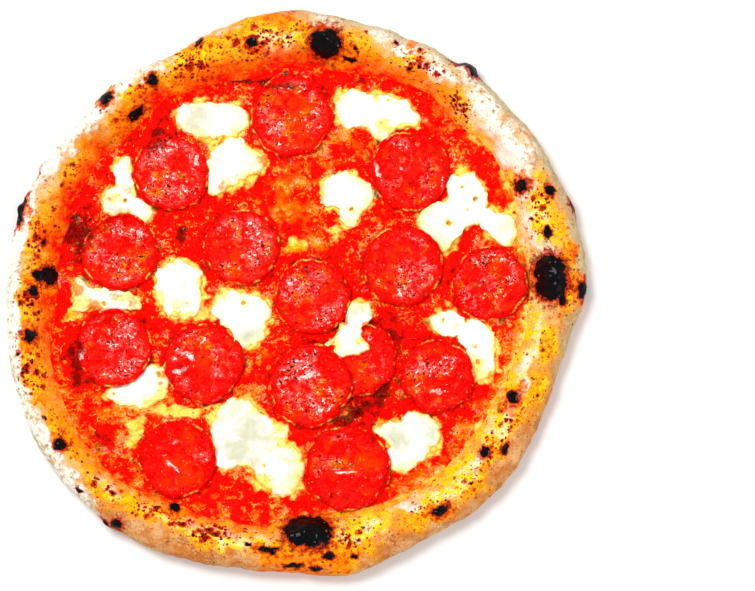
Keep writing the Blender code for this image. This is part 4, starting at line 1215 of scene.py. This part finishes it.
class PIZZA_OT_melt_mozzarella(bpy.types.Operator):
    """Melt the mozzarella patches over what lies under them"""

    bl_idname = "pizza.melt_mozzarella"
    bl_label = "Melt the Mozzarella"

    def execute(self, context):
        bump = context.scene.pizza_sizes.patch_bump / MM
        material = mozzarella_finish("mozzarella", context.scene.pizza_colours)
        angle = spokes(PATCH_SPOKES)
        # Rows from under the middle out round the edge and back over the top, as shares of the
        # reach, and how high each lies, as a share of the thickness
        top = np.linspace(0.91, 0.04, 25)
        share = np.concatenate(((0.25, 0.5, 0.75, 0.9, 0.97),
                                (1.0, 1.004, 0.998, 0.985, 0.965, 0.94), top))[:, None]
        level = np.concatenate((np.full(5, -0.2), (-0.15, -0.08, 0.02, 0.18, 0.36, 0.52),
                                0.64 + 0.36 * smooth_step(top, 0.93, 0.55)))[:, None]
        steps = np.linspace(0.04, 0.96, 24)
        faces = ring_faces(len(share), PATCH_SPOKES)
        for name, lobes in zip(node_names("mozzarella"), MOZZARELLA_PATCHES):
            centre = lobes[0][:2]
            reach = patch_reaches(lobes, angle)
            full = PATCH_THICKNESS + PATCH_THICKNESS_PER_REACH * reach.mean()
            nicks = ripple(*polar(reach, angle, centre), PATCH_EDGE_NICK_SIZE, PATCH_FINE)
            reach = reach + PATCH_EDGE_NICK * nicks
            _, ground = bed_under(name, centre, reach, angle, steps, share, rounds=6)
            ground -= PATCH_SINK
            stray = smooth_step(share, 0.3, 0.95)
            x, y = polar(share * reach, angle, centre)
            for amount, size in (PATCH_STRAY, EDGE_STRAY):
                x, y = strayed(x, y, amount * stray, size)
            thickness = full + PATCH_LUMP * ripple(x, y, PATCH_LUMP_SIZE, PATCH_LUMPS) + GAP
            bumps = ripple(x, y, PATCH_BUMP_SIZE, PATCH_FINE)
            bumps += PATCH_FINE_BUMP * ripple(x, y, PATCH_FINE_BUMP_SIZE, PATCH_FINE)
            thickness += bump * bumps
            height = ground + level * thickness
            points = closed_points(x, y, height, (*centre, ground[0].mean()),
                                   (*centre, height[-1].mean()))
            masks = {"share": with_tips(share + 0 * x)}
            x, y = strayed(x, y, *MARK_STRAY)
            for label, marks in MARKS.items():
                ovals = [(*mark[:3], mark[2], 0, mark[3]) for mark in marks]
                masks[label] = with_tips(places(x, y, ovals))
            patch = add_piece("melted_" + name, points, faces, material, masks)
            mount_piece(patch, "mozzarella", name)
        return {"FINISHED"}


class PIZZA_OT_lay_salami(bpy.types.Operator):
    """Lay the salami slices, with their lips and curled edges"""

    bl_idname = "pizza.lay_salami"
    bl_label = "Lay the Salami"

    def execute(self, context):
        sizes = context.scene.pizza_sizes
        material = salami_finish("salami", context.scene.pizza_colours)
        angle = spokes(SLICE_SPOKES)
        # Rows in the same order as on the mozzarella
        share = np.concatenate(((0.3, 0.6, 0.85, 0.95, 0.985), (0.997, 1.0, 0.998, 0.99, 0.978),
                                np.linspace(0.96, 0.04, 26)))[:, None]
        level = np.concatenate((np.full(5, -0.2), (-0.12, 0.1, 0.42, 0.74, 0.93), np.ones(26)))[:, None]
        lip = sizes.slice_lip / MM * np.exp(-(((share - LIP_PLACE) / LIP_WIDTH) ** 2))
        thickness = SLICE_THICKNESS + SLICE_CROWN * smooth_step(share, 1.0, 0.82) + lip
        steps = np.linspace(0.04, 0.95, 20)
        faces = ring_faces(len(share), SLICE_SPOKES)
        all_points, all_faces = [], []
        for name, fatty in zip(node_names("salami"), SLICE_FATS):
            centre, radius = slice_circle(name)
            x, y = polar(radius, angle, centre)
            reach = radius + SLICE_WAVE * ripple(x, y, SLICE_WAVE_SIZE, SLICE_WAVES)
            reach += SLICE_NICK * ripple(x, y, SLICE_NICK_SIZE, SLICE_WAVES)
            bed, ground = bed_under(name, centre, reach, angle, steps, share, rounds=5)
            slope = (bed[-1] - bed[-3]) / (steps[-1] - steps[-3])
            ground += np.maximum(share - steps[-1], 0) * slope - SLICE_SINK
            x, y = polar(share * reach, angle, centre)
            lumps = ripple(x, y, SLICE_BUMP_SIZE, SLICE_LUMPS)
            lumps += SLICE_FINE_BUMP * ripple(x, y, SLICE_FINE_BUMP_SIZE, SLICE_LUMPS)
            lumps *= sizes.slice_bump / MM * smooth_step(share, 1.0, 0.9)
            height = ground + level * (thickness + lumps)
            points = closed_points(x, y, height, (*centre, ground[0].mean()),
                                   (*centre, height[-1].mean()))
            masks = {"share": with_tips(share + 0 * x), "fatty": np.full(len(points), fatty),
                     "glint_streaks": with_tips(places(*strayed(x, y, *STREAK_STRAY), GLINT_STREAKS)),
                     "dark": with_tips(places(x, y, SHADOWS_ON_SLICES))}
            piece = add_piece("laid_" + name, points, faces, material, masks)
            mount_piece(piece, "salami", name)
            first = len(points) * len(all_points)
            all_points.append(points)
            all_faces += [[first + corner for corner in face] for face in faces[SLICE_SPOKES * SLICE_TOP:]]
        points = np.concatenate(all_points)
        SURFACES["salami"] = points, all_faces, np.ones(len(points))
        return {"FINISHED"}


class PIZZA_OT_scatter_blisters(bpy.types.Operator):
    """Scatter small burnt blisters over the toasted stretches of the rim"""

    bl_idname = "pizza.scatter_blisters"
    bl_label = "Scatter the Rim Blisters"

    def execute(self, context):
        size = context.scene.pizza_sizes.blister
        material = burnt_finish("burnt_blisters", context.scene.pizza_colours)
        scatter_bodies("rim_blisters", "rim", material, "baked_dough", {
            "Least Distance": 0.0019, "Density": 110000.0, "Size": size, "Tallness": 0.5,
            "Unevenness": 0.5 * size, "Sunk": 0.12, "Seed": 11})
        return {"FINISHED"}


class PIZZA_OT_scatter_flecks(bpy.types.Operator):
    """Scatter flecks of tomato in the sauce"""

    bl_idname = "pizza.scatter_flecks"
    bl_label = "Scatter the Tomato Flecks"

    def execute(self, context):
        size = context.scene.pizza_sizes.fleck
        material = fleck_finish("tomato_flecks", context.scene.pizza_colours)
        scatter_bodies("sauce_flecks", "sauce", material, "tomato", {
            "Least Distance": 0.006, "Density": 9000.0, "Size": size, "Tallness": 0.3,
            "Unevenness": 0.9 * size, "Sunk": 0.12, "Seed": 5})
        return {"FINISHED"}


class PIZZA_OT_scatter_oil(bpy.types.Operator):
    """Scatter beads of oil on the salami"""

    bl_idname = "pizza.scatter_oil"
    bl_label = "Scatter the Oil Beads"

    def execute(self, context):
        size = context.scene.pizza_sizes.bead
        material = oil_finish("orange_oil", context.scene.pizza_colours)
        scatter_bodies("oil_beads", "salami", material, "salami", {
            "Least Distance": 0.0035, "Density": 20000.0, "Size": size, "Tallness": 0.45,
            "Unevenness": 0.2 * size, "Sunk": 0.1, "Seed": 8})
        return {"FINISHED"}


def add_light(name, place, size, power, tint):
    """A round soft light that shines at the pizza's middle."""
    light = bpy.data.lights.new(name, "AREA")
    light.shape = "DISK"
    light.size = size
    light.energy = power
    light.color = tint
    lamp = bpy.data.objects.new(name, light)
    lamp.location = place
    lamp.rotation_euler = (-Vector(place)).to_track_quat("-Z", "Y").to_euler()
    bpy.context.scene.collection.objects.link(lamp)


class PIZZA_OT_set_stage(bpy.types.Operator):
    """Set the pale floor, the soft studio light and the camera above the pizza"""

    bl_idname = "pizza.set_stage"
    bl_label = "Set the Stage"

    def execute(self, context):
        scene = context.scene
        mesh = bpy.data.meshes.new("floor")
        corners = [(FLOOR_HALF * x, FLOOR_HALF * y, 0) for x, y in ((-1, -1), (1, -1), (1, 1), (-1, 1))]
        mesh.from_pydata(corners, [], [(0, 1, 2, 3)])
        mesh.materials.append(Finish("pale_floor", ground=FLOOR_SHADE).surface(Roughness=0.9))
        floor = bpy.data.objects.new("floor", mesh)
        floor.location.z = -FLOOR_DROP
        scene.collection.objects.link(floor)
        scene.world = bpy.data.worlds.new("studio")
        scene.world.use_nodes = True
        background = scene.world.node_tree.nodes["Background"]
        background.inputs["Color"].default_value = (1, 1, 1, 1)
        background.inputs["Strength"].default_value = SKY_STRENGTH
        for name, light in LIGHTS.items():
            add_light(name, *light)
        camera = bpy.data.cameras.new("camera")
        camera.lens = SENSOR * CAMERA_DISTANCE / FRAME_WIDTH
        camera.sensor_width = SENSOR
        camera.clip_start = CAMERA_NEAREST
        viewer = bpy.data.objects.new("camera", camera)
        back = Vector((*CAMERA_LEAN, 1)).normalized()
        right = Vector((0, 1, 0)).cross(back).normalized()
        turn = Matrix((right, back.cross(right), back)).transposed().to_4x4()
        viewer.matrix_world = Matrix.Translation(Vector(CAMERA_AIM) + CAMERA_DISTANCE * back) @ turn
        scene.collection.objects.link(viewer)
        scene.camera = viewer
        scene.view_settings.view_transform = "Standard"
        return {"FINISHED"}


STEPS = (PIZZA_OT_bake_dough, PIZZA_OT_spread_sauce, PIZZA_OT_melt_mozzarella, PIZZA_OT_lay_salami,
         PIZZA_OT_scatter_blisters, PIZZA_OT_scatter_flecks, PIZZA_OT_scatter_oil, PIZZA_OT_set_stage)


class PIZZA_PT_panel(bpy.types.Panel):
    bl_label = "Salami Pizza"
    bl_idname = "PIZZA_PT_panel"
    bl_space_type = "VIEW_3D"
    bl_region_type = "UI"
    bl_category = "Pizza"

    def draw(self, context):
        for step in STEPS:
            self.layout.operator(step.bl_idname)
        for group in (context.scene.pizza_sizes, context.scene.pizza_colours):
            for label in group.__annotations__:
                self.layout.prop(group, label)


CLASSES = (PizzaColours, PizzaSizes, *STEPS, PIZZA_PT_panel)


def register():
    for item in CLASSES:
        bpy.utils.register_class(item)
    bpy.types.Scene.pizza_colours = bpy.props.PointerProperty(type=PizzaColours)
    bpy.types.Scene.pizza_sizes = bpy.props.PointerProperty(type=PizzaSizes)


def unregister():
    del bpy.types.Scene.pizza_sizes
    del bpy.types.Scene.pizza_colours
    for item in reversed(CLASSES):
        bpy.utils.unregister_class(item)


def main():
    register()
    bpy.ops.pizza.bake_dough()
    bpy.ops.pizza.spread_sauce()
    bpy.ops.pizza.melt_mozzarella()
    bpy.ops.pizza.lay_salami()
    bpy.ops.pizza.scatter_blisters()
    bpy.ops.pizza.scatter_flecks()
    bpy.ops.pizza.scatter_oil()
    bpy.ops.pizza.set_stage()


if __name__ == "__main__":
    main()
